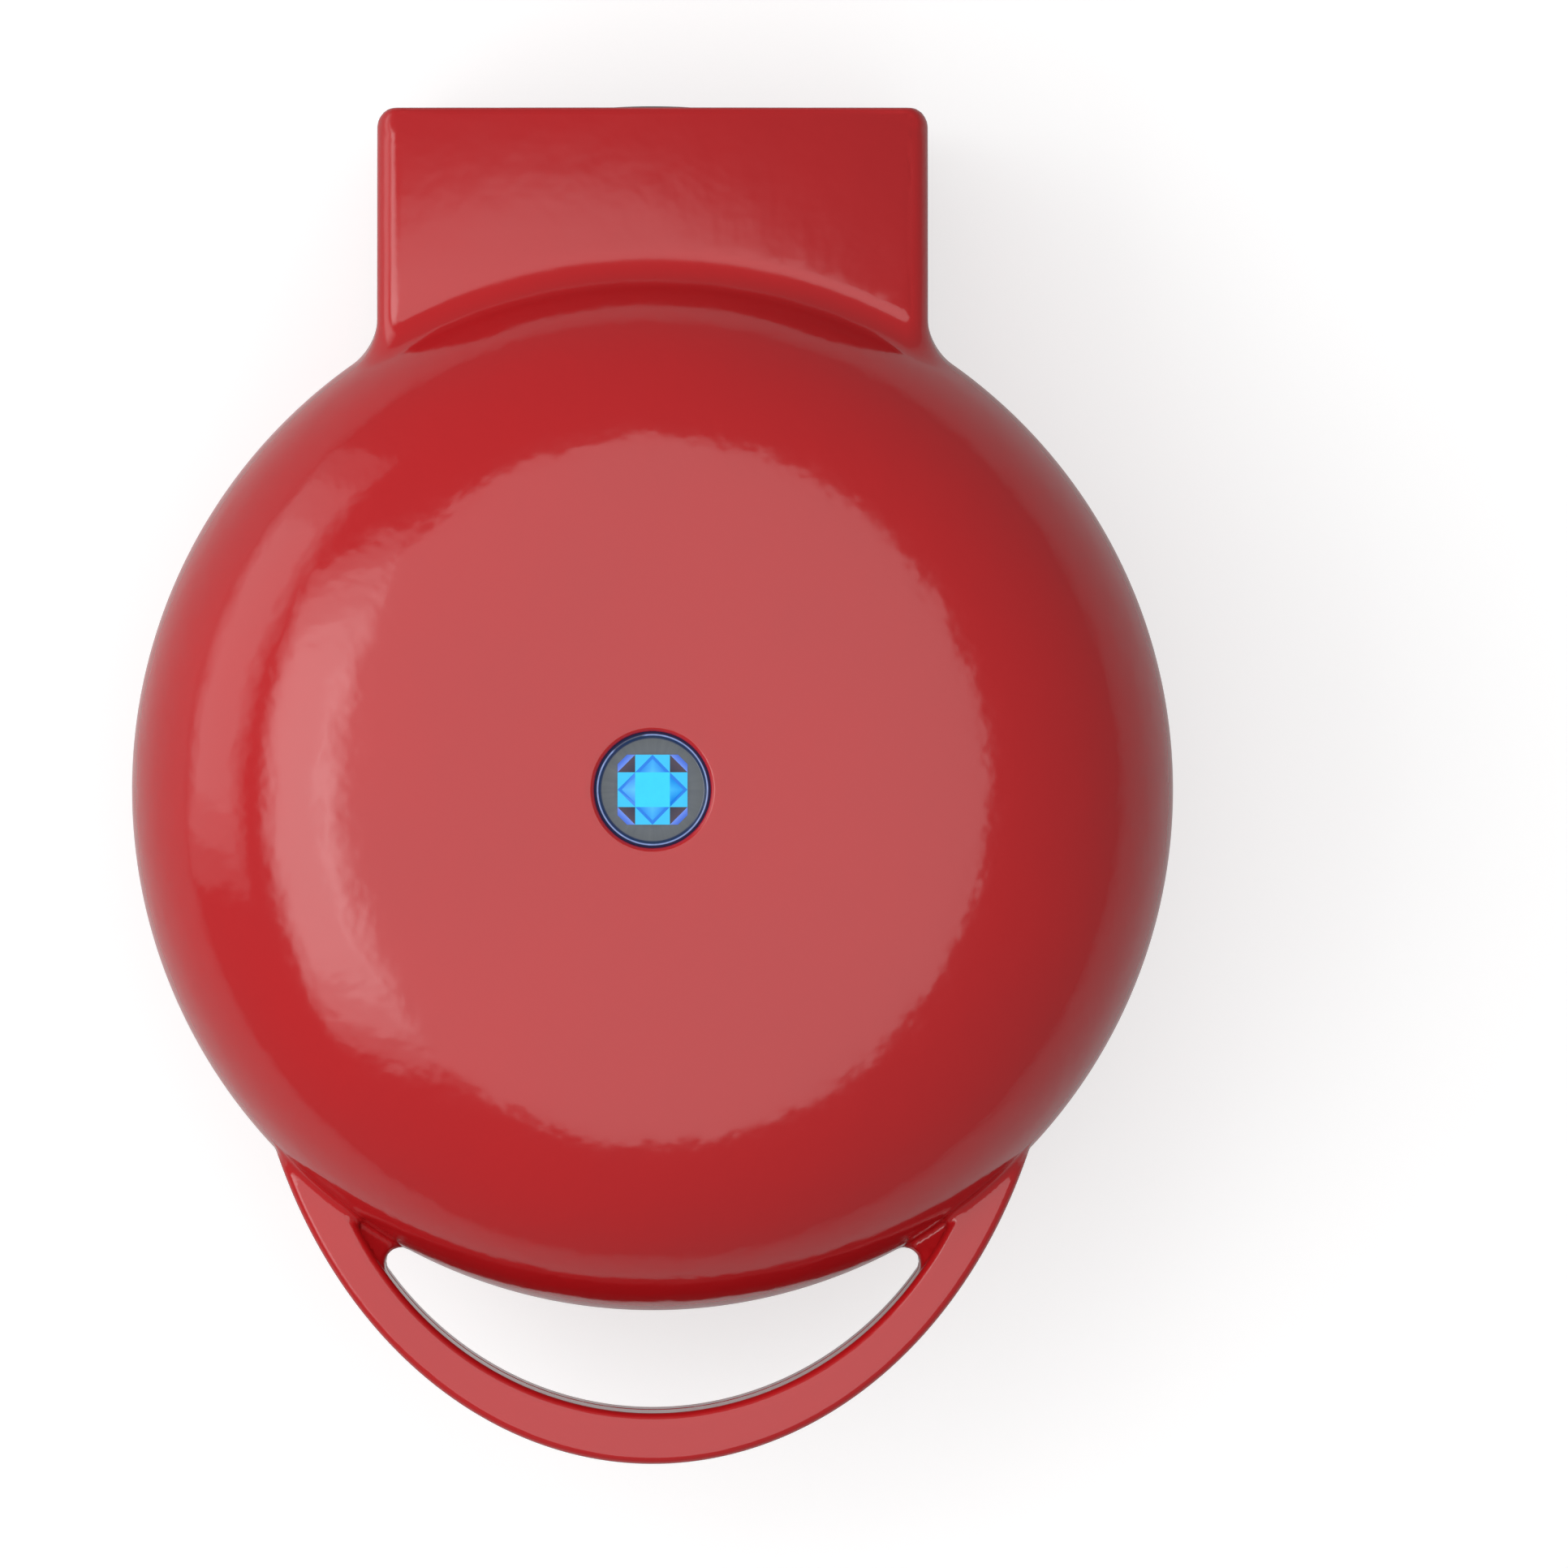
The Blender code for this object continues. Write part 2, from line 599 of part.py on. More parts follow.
def make_lid_shell(lid, finishes):
    """Dome, hinge block and upper handle loop in one moulding, with its bosses and holes."""
    rim = level(lid, RIM_DEPTH)
    top = PARTING_HEIGHT + BLOCK_RISE
    crown = TOTAL_HEIGHT - rim - SKIRT_HEIGHT
    root = math.sqrt(SHELL_INNER**2 - BLOCK_HALF_WIDTH**2) - OVERRUN
    heel = -math.asin((HINGE_Z - rim) / HINGE_SETBACK)
    side = [(root, rim)] + arc((HINGE_Y, HINGE_Z), HINGE_SETBACK, heel, 0, ARC_STEPS)
    side += [(BLOCK_REAR, top), (root, top)]
    inner_rear, ceiling = BLOCK_REAR - BLOCK_WALL, top - BLOCK_WALL
    hollow = [
        (root - OVERRUN, rim - OVERRUN), (BLOCK_REAR + OVERRUN, rim - OVERRUN), (BLOCK_REAR + OVERRUN, HINGE_Z),
        (inner_rear, HINGE_Z), (inner_rear, ceiling), (root - OVERRUN, ceiling),
    ]
    shell = prism(
        "lid_shell", side, -BLOCK_HALF_WIDTH, BLOCK_HALF_WIDTH, lid.carrier, finishes["gloss red"], "YZ"
    )
    plan = prism("lid_block_plan", block_plan(root - OVERRUN), rim - OVERRUN, top + OVERRUN, lid.carrier)
    section = prism(
        "lid_block_section", lid_block_section(), root - OVERRUN, BLOCK_REAR + OVERRUN, lid.carrier, None, "XZ"
    )
    inside = prism("lid_block_hollow", hollow, -BLOCK_INNER_HALF, BLOCK_INNER_HALF, lid.carrier, None, "YZ")
    dome = turned("lid_dome", shell_profile(lid, BODY_RADIUS, RIM_DEPTH, crown, 1.0), SHELL_SIDES, lid.carrier)
    hollow_profile = shell_profile(lid, SHELL_INNER, RIM_DEPTH - OVERRUN, crown - WALL, 1.0)
    dome_hollow = turned("lid_dome_hollow", hollow_profile, SHELL_SIDES, lid.carrier)
    combine(shell, "INTERSECT", plan)
    combine(shell, "INTERSECT", section)
    combine(shell, "DIFFERENCE", inside)
    combine(shell, "UNION", dome)
    combine(shell, "UNION", handle_loop(lid, UPPER_HANDLE_THICKNESS))
    combine(shell, "DIFFERENCE", dome_hollow)
    combine(shell, "UNION", ring_bosses(lid))
    combine(shell, "DIFFERENCE", ring_boss_holes(lid))
    for side_sign in (-1, 1):
        boss = rod(PIN_BOSS_RADIUS, BARREL_HALF + FIT, BLOCK_INNER_HALF + BITE)
        seat = rod(PIN_RADIUS + RUNNING_FIT, BARREL_HALF - OVERRUN, BLOCK_HALF_WIDTH - PIN_SKIN)
        where = {"place": (0, HINGE_Y, HINGE_Z), "axis": (side_sign, 0, 0)}
        combine(shell, "UNION", turned("pin_boss", boss, PIN_SIDES, lid.carrier, **where))
        combine(shell, "DIFFERENCE", turned("pin_seat", seat, PIN_SIDES, lid.carrier, **where))
    window = rod(LENS_RADIUS + FIT, level(lid, SHIELD_BACK), TOTAL_HEIGHT + OVERRUN)
    combine(shell, "DIFFERENCE", turned("lens_hole", window, INNER_SIDES, lid.carrier))
    lead_hole = turned(
        "lid_lead_hole", rod(LEAD_HOLE_RADIUS, SHELL_INNER - 2 * WALL, BODY_RADIUS + OVERRUN), SMALL_SIDES,
        lid.carrier, place=(LID_LEAD_X, 0, HINGE_Z + LID_LEAD_RISE), axis=(0, 1, 0),
    )
    combine(shell, "DIFFERENCE", lead_hole)


def ring_bosses(half):
    """Screw bosses on the shell's inner wall that carry the ring."""
    ends = sorted((level(half, RING_BACK + FIT), level(half, RING_BACK + FIT + RING_BOSS_LENGTH)))
    return rods(
        f"{half.name}_ring_bosses", ring_places(RING_SCREW_CIRCLE, RING_SCREW_ANGLES), RING_BOSS_RADIUS,
        *ends, SMALL_SIDES, half.carrier,
    )


def ring_boss_holes(half):
    """Blind holes of the ring bosses."""
    ends = sorted((level(half, RING_DEPTH), level(half, RING_BACK + RING_BOSS_LENGTH - FIT)))
    return rods(
        f"{half.name}_ring_boss_holes", ring_places(RING_SCREW_CIRCLE, RING_SCREW_ANGLES),
        SMALL_SHANK_RADIUS + FIT, *ends, SCREW_SIDES, half.carrier,
    )


def make_ring(half, finishes):
    """L-shaped ring: a flange in the shell's rim, a skirt and the ledge under the plate."""
    profile = [
        (SKIRT_INNER, level(half, RING_DEPTH)), (RING_OUTER, level(half, RING_DEPTH)),
        (RING_OUTER, level(half, RING_BACK)), (SKIRT_OUTER, level(half, RING_BACK)),
        (SKIRT_OUTER, level(half, LEDGE_BACK)), (LEDGE_INNER, level(half, LEDGE_BACK)),
        (LEDGE_INNER, level(half, LEDGE_FACE)), (SKIRT_INNER, level(half, LEDGE_FACE)),
    ]
    name = f"{half.name}_inner_ring"
    ring = turned(name, profile, INNER_SIDES, half.carrier, finishes["black plastic"])
    places = ring_places(RING_SCREW_CIRCLE, RING_SCREW_ANGLES)
    recess = sorted((level(half, RING_DEPTH - OVERRUN), level(half, RING_DEPTH + RING_SCREW_RECESS)))
    hole = sorted((level(half, RING_DEPTH + BITE), level(half, RING_BACK + OVERRUN)))
    head_radius, shank_radius = SMALL_HEAD_RADIUS + FIT, SMALL_SHANK_RADIUS + FIT
    combine(ring, "DIFFERENCE", rods(f"{name}_recesses", places, head_radius, *recess, SMALL_SIDES, half.carrier))
    combine(ring, "DIFFERENCE", rods(f"{name}_holes", places, shank_radius, *hole, SCREW_SIDES, half.carrier))
    seat = level(half, RING_DEPTH + RING_SCREW_RECESS - FIT)
    for number, (x, y) in enumerate(places, 1):
        small_screw(
            f"{half.name}_ring_screw_{number}", RING_SCREW_LENGTH, half.carrier, finishes["steel"],
            (x, y, seat), (0, 0, -half.sign),
        )


def peg_places():
    """Centres of the pegs whose inner corner lies well inside the patterned circle."""
    columns, rows = range(-3, 4), range(-3, 3)
    limit = CAVITY_RADIUS - PEG_MARGIN - PEG_LEAST_DEPTH
    places = []
    for column in columns:
        for row in rows:
            x, y = column * PEG_PITCH, (row + 0.5) * PEG_PITCH
            nearest_x, nearest_y = max(abs(x) - PEG_FOOT / 2, 0), max(abs(y) - PEG_FOOT / 2, 0)
            if math.hypot(nearest_x, nearest_y) < limit:
                places.append((x, y))
    return places


def peg_grid(half):
    """Guide of drafted square pegs, clipped by a drafted cone."""
    slope = (PEG_FOOT - PEG_TIP) / 2 / PEG_HEIGHT
    foot, tip = PEG_FOOT / 2 + BITE * slope, PEG_TIP / 2
    low, high = level(half, CAVITY_FLOOR + BITE), level(half, PEG_TIPS)
    shape = bmesh.new()
    for x, y in peg_places():
        rings = []
        for size, height in ((foot, low), (tip, high)):
            corners = [(x - size, y - size), (x + size, y - size), (x + size, y + size), (x - size, y + size)]
            rings.append([shape.verts.new((u, v, height)) for u, v in corners])
        shape.faces.new(rings[0])
        shape.faces.new(rings[1])
        for i in range(4):
            j = (i + 1) % 4
            shape.faces.new((rings[0][i], rings[0][j], rings[1][j], rings[1][i]))
    name = f"{half.name}_pegs"
    pegs = add_object(name, close_mesh(name, shape), half.carrier, None)
    reach = CAVITY_RADIUS - PEG_MARGIN
    foot_reach, tip_reach = reach + (BITE + OVERRUN) * slope, reach - (PEG_HEIGHT + OVERRUN) * slope
    foot_level, tip_level = level(half, CAVITY_FLOOR + BITE + OVERRUN), level(half, PEG_TIPS - OVERRUN)
    cone = [(0, foot_level), (foot_reach, foot_level), (tip_reach, tip_level), (0, tip_level)]
    combine(pegs, "INTERSECT", turned(f"{name}_limit", cone, PEG_CONE_SIDES, half.carrier))
    return pegs


def make_plate(half, finishes):
    """Cast cooking plate: a drafted dish with pegs, and three screw bosses behind it."""
    profile = [
        (0, level(half, CAVITY_FLOOR)), (CAVITY_RADIUS, level(half, CAVITY_FLOOR)),
        (MOUTH_RADIUS, level(half, PLATE_RIM_DEPTH)), (PLATE_RADIUS, level(half, PLATE_RIM_DEPTH)),
        (PLATE_RADIUS, level(half, PLATE_BACK)), (0, level(half, PLATE_BACK)),
    ]
    name = f"{half.name}_plate"
    plate = turned(name, profile, INNER_SIDES, half.carrier, finishes["non-stick"])
    places = ring_places(PLATE_SCREW_CIRCLE, PLATE_SCREW_ANGLES)
    boss = sorted((level(half, PLATE_BACK - BITE), level(half, SHIELD_FLOOR - FIT)))
    hole = sorted((level(half, SHIELD_BACK - PLATE_SCREW_GRIP - OVERRUN), level(half, SHIELD_BACK)))
    shank = LARGE_SHANK_RADIUS + FIT
    combine(plate, "UNION", peg_grid(half))
    combine(plate, "UNION", rods(f"{name}_bosses", places, PLATE_BOSS_RADIUS, *boss, SMALL_SIDES, half.carrier))
    combine(plate, "DIFFERENCE", rods(f"{name}_holes", places, shank, *hole, SCREW_SIDES, half.carrier))
    for number, (x, y) in enumerate(places, 1):
        large_screw(
            f"{half.name}_plate_screw_{number}", PLATE_SCREW_GRIP, half.carrier, finishes["steel"],
            (x, y, level(half, SHIELD_BACK + FIT)), (0, 0, half.sign),
        )


def heater_leg(side):
    """Plan place of a heater's leg: the ring's end carried on by the bend along its tangent."""
    along = HEATER_RING * math.cos(HEATER_HALF_GAP) + HEATER_BEND * math.sin(HEATER_HALF_GAP)
    return (side * HEATER_LEG_X, along)


def make_heater(half, finishes):
    """Sheathed element: an open ring on the plate's back whose ends bend away from the plate."""
    start = math.pi / 2 + HEATER_HALF_GAP
    ring = arc((0, 0), HEATER_RING, start, start + 2 * (math.pi - HEATER_HALF_GAP), HEATER_STEPS)
    route = [(x, y, level(half, HEATER_DEPTH)) for x, y in ring]
    bends = []
    for side in (-1, 1):
        leg_x, leg_y = heater_leg(side)
        end_x, end_y = ring[0] if side < 0 else ring[-1]
        bend = [(leg_x, leg_y, level(half, HEATER_END))]
        for t in spread(0, math.pi / 2, 4)[:-1]:
            share = 1 - math.cos(t)
            depth = HEATER_DEPTH + HEATER_BEND * (1 - math.sin(t))
            bend.append((leg_x + (end_x - leg_x) * share, leg_y + (end_y - leg_y) * share, level(half, depth)))
        bends.append(bend)
    tube(
        f"{half.name}_heater", bends[0] + route + bends[1][::-1], HEATER_RADIUS, 2, half.carrier,
        finishes["heater sheath"],
    )


def make_shield(half, hole_radius, finishes):
    """Pressed sheet dish behind the plate, its flange under the ring's ledge."""
    profile = [
        (CUP_RADIUS, level(half, SHIELD_FLOOR)), (CUP_RADIUS, level(half, SHIELD_FLANGE)),
        (LEDGE_INNER + SHIELD_LAP, level(half, SHIELD_FLANGE)),
        (LEDGE_INNER + SHIELD_LAP, level(half, SHIELD_FLANGE + SHEET)),
        (CUP_RADIUS + SHEET, level(half, SHIELD_FLANGE + SHEET)), (CUP_RADIUS + SHEET, level(half, SHIELD_BACK)),
        (hole_radius, level(half, SHIELD_BACK)), (hole_radius, level(half, SHIELD_FLOOR)),
    ]
    name = f"{half.name}_heat_shield"
    shield = turned(name, profile, INNER_SIDES, half.carrier, finishes["aluminised sheet"])
    ends = sorted((level(half, SHIELD_FLOOR - BITE), level(half, SHIELD_BACK + BITE)))
    screws = ring_places(PLATE_SCREW_CIRCLE, PLATE_SCREW_ANGLES)
    legs = [heater_leg(-1), heater_leg(1)]
    shank, leg = LARGE_SHANK_RADIUS + FIT, HEATER_RADIUS + HEATER_HOLE_CLEARANCE
    combine(shield, "DIFFERENCE", rods(f"{name}_screw_holes", screws, shank, *ends, SCREW_SIDES, half.carrier))
    combine(shield, "DIFFERENCE", rods(f"{name}_leg_holes", legs, leg, *ends, SMALL_SIDES, half.carrier))
    return shield


def jewel_outline(half_width, corner):
    """Square with cut corners."""
    near = half_width - corner
    return [
        (half_width, -near), (half_width, near), (near, half_width), (-near, half_width),
        (-half_width, near), (-half_width, -near), (-near, -half_width), (near, -half_width),
    ]


def make_indicator(lid, finishes):
    """Faceted lens in the dome's crown, the lamp under it and the holder on the shield."""
    ceiling = TOTAL_HEIGHT - WALL
    flange_top = ceiling - FIT
    flange_low = flange_top - LENS_FLANGE
    lip_top = TOTAL_HEIGHT - LENS_RECESS
    face = lip_top - LENS_LIP
    profile = [
        (0, flange_low), (LENS_FLANGE_RADIUS, flange_low), (LENS_FLANGE_RADIUS, flange_top),
        (LENS_RADIUS, flange_top), (LENS_RADIUS, lip_top), (LENS_RADIUS - LENS_LIP_WIDTH, lip_top),
        (LENS_RADIUS - LENS_LIP_WIDTH, face), (0, face),
    ]
    lens = turned("indicator_lens", profile, INNER_SIDES, lid.carrier, finishes["lens"])
    shape = bmesh.new()
    foot = [shape.verts.new((x, y, face - BITE)) for x, y in jewel_outline(JEWEL_HALF_WIDTH, JEWEL_CORNER)]
    table_outline = jewel_outline(JEWEL_TABLE_HALF_WIDTH, JEWEL_TABLE_CORNER)
    table = [shape.verts.new((x, y, lip_top)) for x, y in table_outline]
    shape.faces.new(foot)
    shape.faces.new(table)
    for i, start in enumerate(foot):
        j = (i + 1) % len(foot)
        shape.faces.new((start, foot[j], table[j], table[i]))
    combine(lens, "UNION", add_object("jewel", close_mesh("jewel", shape), lid.carrier, None))

    stand = level(lid, SHIELD_BACK + FIT)
    floor = stand + HOLDER_FLOOR
    bore = LAMP_RADIUS + FIT
    holder = [
        (0, stand), (HOLDER_FLANGE_RADIUS, stand), (HOLDER_FLANGE_RADIUS, stand + HOLDER_FLANGE),
        (bore + HOLDER_WALL, stand + HOLDER_FLANGE), (bore + HOLDER_WALL, flange_low - FIT),
        (bore, flange_low - FIT), (bore, floor), (0, floor),
    ]
    turned("lamp_holder", holder, SMALL_SIDES, lid.carrier, finishes["black plastic"])
    low, top = floor + FIT, floor + FIT + LAMP_LENGTH
    dome = arc((0, top - LAMP_RADIUS), LAMP_RADIUS, 0, math.pi / 2, CORNER_STEPS)[:-1]
    lamp = [(0, low), (LAMP_RADIUS, low)] + dome + [(0, top)]
    turned("indicator_lamp", lamp, SMALL_SIDES, lid.carrier, finishes["lamp"])


def make_hinge_pins(lid, finishes):
    """Stub pins seated in the lid's bosses that turn in the ends of the base's barrel."""
    for name, side in (("hinge_pin_left", -1), ("hinge_pin_right", 1)):
        profile = rod(PIN_RADIUS, LEAD_BORE_HALF + OVERRUN, BLOCK_HALF_WIDTH - PIN_SKIN - FIT)
        turned(name, profile, PIN_SIDES, lid.carrier, finishes["steel"], (0, HINGE_Y, HINGE_Z), (side, 0, 0))


def make_lid_leads(lid, finishes):
    """Sleeved lead from the hinge's centre to the heater, and the lamp's own lead."""
    left, right = heater_leg(-1), heater_leg(1)
    run = level(lid, SHIELD_BACK) + LEAD_RADIUS + FIT
    reach = HEATER_RADIUS + FIT
    lead = [(FIT / 2, HINGE_Y, HINGE_Z)]
    lead += [(x, HINGE_Y + y, HINGE_Z + z) for x, y, z in UPPER_LEAD_FROM_HINGE]
    lead += [(x, HINGE_Y + y, run + z) for x, y, z in UPPER_LEAD_ON_SHIELD]
    lead += [(right[0], right[1] + 2 * reach, run), (right[0], right[1] + reach, run)]
    tube("upper_lead", smooth_route(lead, LEAD_STEPS), LEAD_RADIUS, 1, lid.carrier, finishes["sleeve"])
    side = LAMP_RADIUS + FIT + HOLDER_WALL + FIT
    low = level(lid, SHIELD_BACK) + WIRE_RADIUS + FIT
    wire = [(left[0], left[1] - reach, low), (left[0], left[1] - 2 * reach, low)]
    wire += [(x, y, low + z) for x, y, z in LAMP_WIRE_ON_SHIELD]
    end = low + HOLDER_FLANGE + FIT
    wire += [(0, side + LAMP_WIRE_END, end), (0, side, end)]
    tube("lamp_lead", smooth_route(wire, LEAD_STEPS), WIRE_RADIUS, 1, lid.carrier, finishes["wire"])


def foot_places():
    """Plan places of the four feet: two under the bowl's front, two under the hinge block."""
    rear_y = BLOCK_REAR - REAR_FOOT_INSET
    return {
        "front_left": (-FRONT_FOOT_X, -FRONT_FOOT_Y), "front_right": (FRONT_FOOT_X, -FRONT_FOOT_Y),
        "rear_left": (-REAR_FOOT_X, rear_y), "rear_right": (REAR_FOOT_X, rear_y),
    }


def barrel_arm_outline():
    """Side outline of an arm that carries the hinge barrel clear of the lid's swinging back wall."""
    foot = BASE_RIM - BITE
    tangent = math.radians(128)
    return [
        (HINGE_Y - ARM_REACH, foot), (HINGE_Y - ARM_CLEARANCE, foot),
        (HINGE_Y - ARM_CLEARANCE, HINGE_Z - BARREL_RADIUS / 2), (HINGE_Y, HINGE_Z),
        (HINGE_Y + BARREL_RADIUS * math.cos(tangent), HINGE_Z + BARREL_RADIUS * math.sin(tangent)),
        (HINGE_Y - ARM_REACH, BASE_RIM + ARM_TOE),
    ]


def make_base_shell(base, finishes):
    """Bowl, hinge block with barrel, and lower handle loop in one moulding, with its bosses and holes."""
    floor_drop = BASE_RIM - SKIRT_HEIGHT - FLOOR_HEIGHT
    crown = floor_drop / BOWL_CUT_SHARE
    inner_cut = (floor_drop - WALL) / (crown - WALL)
    outer_profile = shell_profile(base, BODY_RADIUS, RIM_DEPTH, crown, BOWL_CUT_SHARE)
    inner_profile = shell_profile(base, SHELL_INNER, RIM_DEPTH - OVERRUN, crown - WALL, inner_cut)
    flat_radius = outer_profile[-2][0]
    root = math.sqrt(flat_radius**2 - BLOCK_HALF_WIDTH**2) - OVERRUN
    lean = OPEN_ANGLE - math.pi / 2
    drop = HINGE_Z - BASE_RIM
    stop_y = HINGE_Y + (drop * math.cos(lean) - HINGE_SETBACK - FIT) / math.sin(lean)
    stop_z = BASE_RIM - (BLOCK_REAR - stop_y) * math.tan(lean)
    corner = arc(
        (BLOCK_REAR - BLOCK_CORNER, FLOOR_HEIGHT + BLOCK_CORNER), BLOCK_CORNER, -math.pi / 2, 0, CORNER_STEPS
    )
    side = [(root, FLOOR_HEIGHT)] + corner + [(BLOCK_REAR, stop_z), (stop_y, BASE_RIM), (root, BASE_RIM)]
    ceiling = BASE_RIM - BLOCK_WALL - (BASE_RIM - stop_z) / 2
    hollow = rectangle(root - OVERRUN, BLOCK_REAR - BLOCK_WALL, INNER_FLOOR, ceiling)
    carrier = base.carrier
    shell = prism("base_shell", side, -BLOCK_HALF_WIDTH, BLOCK_HALF_WIDTH, carrier, finishes["gloss red"], "YZ")
    plan = prism("base_block_plan", block_plan(root - OVERRUN), FLOOR_HEIGHT - OVERRUN, BASE_RIM + OVERRUN, carrier)
    inside = prism("base_block_hollow", hollow, -BLOCK_INNER_HALF, BLOCK_INNER_HALF, carrier, None, "YZ")
    combine(shell, "INTERSECT", plan)
    combine(shell, "DIFFERENCE", inside)
    combine(shell, "UNION", turned("bowl", outer_profile, SHELL_SIDES, carrier))
    combine(shell, "UNION", handle_loop(base, LOWER_HANDLE_THICKNESS))
    hinge = {"place": (0, HINGE_Y, HINGE_Z), "axis": (1, 0, 0)}
    arm_start = LEAD_BORE_HALF + ARM_MARGIN
    for side_name, start, end in (("left", -BARREL_HALF, -arm_start), ("right", arm_start, BARREL_HALF)):
        arm = prism(f"arm_{side_name}", barrel_arm_outline(), start, end, carrier, None, "YZ")
        combine(shell, "UNION", arm)
    barrel = rod(BARREL_RADIUS, -BARREL_HALF, BARREL_HALF)
    combine(shell, "UNION", turned("barrel", barrel, PIN_SIDES, carrier, **hinge))
    combine(shell, "DIFFERENCE", turned("bowl_hollow", inner_profile, SHELL_SIDES, carrier))
    combine(shell, "UNION", ring_bosses(base))

    cover_circle = COVER_RADIUS - COVER_SCREW_INSET
    cover_screws = ring_places(cover_circle, COVER_SCREW_ANGLES)
    feet = list(foot_places().values())
    terminal_y = BLOCK_REAR - TERMINAL_SETBACK - TERMINAL_DEPTH / 2
    terminal = [(0, terminal_y)]
    pad_low = FOOT_HEIGHT + FIT
    upper_floor = INNER_FLOOR - BITE
    bosses = (
        ("cover_bosses", cover_screws, COVER_BOSS_RADIUS, FLOOR_HEIGHT + BITE, INNER_FLOOR + COVER_BOSS_HEIGHT),
        ("foot_pads", feet, FOOT_PAD_RADIUS, pad_low, FLOOR_HEIGHT + FOOT_PAD_TOP),
        ("terminal_boss", terminal, TERMINAL_BOSS_RADIUS, upper_floor, INNER_FLOOR + TERMINAL_BOSS_HEIGHT),
    )
    for name, places, radius, low, high in bosses:
        combine(shell, "UNION", rods(name, places, radius, low, high, SMALL_SIDES, carrier))
    combine(shell, "DIFFERENCE", ring_boss_holes(base))
    shank = SMALL_SHANK_RADIUS + FIT
    terminal_top = INNER_FLOOR + TERMINAL_BOSS_HEIGHT
    holes = (
        ("cover_screw_holes", cover_screws, shank, FLOOR_HEIGHT - OVERRUN, INNER_FLOOR + COVER_BOSS_HEIGHT - WALL / 2),
        ("foot_peg_holes", feet, FOOT_PEG_RADIUS + FIT, pad_low - OVERRUN, pad_low + FOOT_PEG_LENGTH + FIT),
        ("terminal_screw_hole", terminal, shank, terminal_top - TERMINAL_SCREW_GRIP - BITE, terminal_top + OVERRUN),
        ("floor_opening", [(0, 0)], COVER_RADIUS - COVER_LAP, FLOOR_HEIGHT - OVERRUN, INNER_FLOOR + OVERRUN),
        ("base_lead_hole", [(-LOWER_LEAD_X, HINGE_Y - LOWER_LEAD_Y)], LEAD_HOLE_RADIUS, ceiling - OVERRUN,
         BASE_RIM + OVERRUN),
    )
    for name, places, radius, low, high in holes:
        combine(shell, "DIFFERENCE", rods(name, places, radius, low, high, SMALL_SIDES, carrier))
    slot_outline = rectangle(CUP_RADIUS, BODY_RADIUS, FLOOR_HEIGHT + WIRE_SLOT_LOW, FLOOR_HEIGHT + WIRE_SLOT_HIGH)
    slot = prism("wire_slot", slot_outline, -WIRE_SLOT_HALF_WIDTH, WIRE_SLOT_HALF_WIDTH, carrier, None, "YZ")
    combine(shell, "DIFFERENCE", slot)
    gland_hole = rod(GLAND_NECK_RADIUS + FIT, -BLOCK_WALL - OVERRUN, OVERRUN)
    rear = {"place": (0, BLOCK_REAR, GLAND_HEIGHT), "axis": (0, 1, 0)}
    combine(shell, "DIFFERENCE", turned("gland_hole", gland_hole, PIN_SIDES, carrier, **rear))
    cut_barrel(shell, carrier, hinge)


def cut_barrel(shell, carrier, hinge):
    """Bore and windows of the barrel for the leads, and the running holes of the pins."""
    pin = PIN_RADIUS + RUNNING_FIT
    end = BARREL_HALF + OVERRUN
    bore = [
        (0, -end), (pin, -end), (pin, -LEAD_BORE_HALF), (LEAD_BORE_RADIUS, -LEAD_BORE_HALF),
        (LEAD_BORE_RADIUS, LEAD_BORE_HALF), (pin, LEAD_BORE_HALF), (pin, end), (0, end),
    ]
    combine(shell, "DIFFERENCE", turned("barrel_bore", bore, PIN_SIDES, carrier, **hinge))
    past = BARREL_RADIUS + BITE
    lower = rectangle(HINGE_Y - past, HINGE_Y, HINGE_Z - past, HINGE_Z + LOWER_WINDOW_TOP)
    upper = rectangle(HINGE_Y - past, HINGE_Y + past, HINGE_Z - UPPER_WINDOW_FOOT, HINGE_Z + past)
    for name, outline, start, stop in (
        ("lower_window", lower, -WINDOW_END, -WINDOW_START),
        ("upper_window", upper, WINDOW_START, WINDOW_END),
    ):
        combine(shell, "DIFFERENCE", prism(name, outline, start, stop, carrier, None, "YZ"))


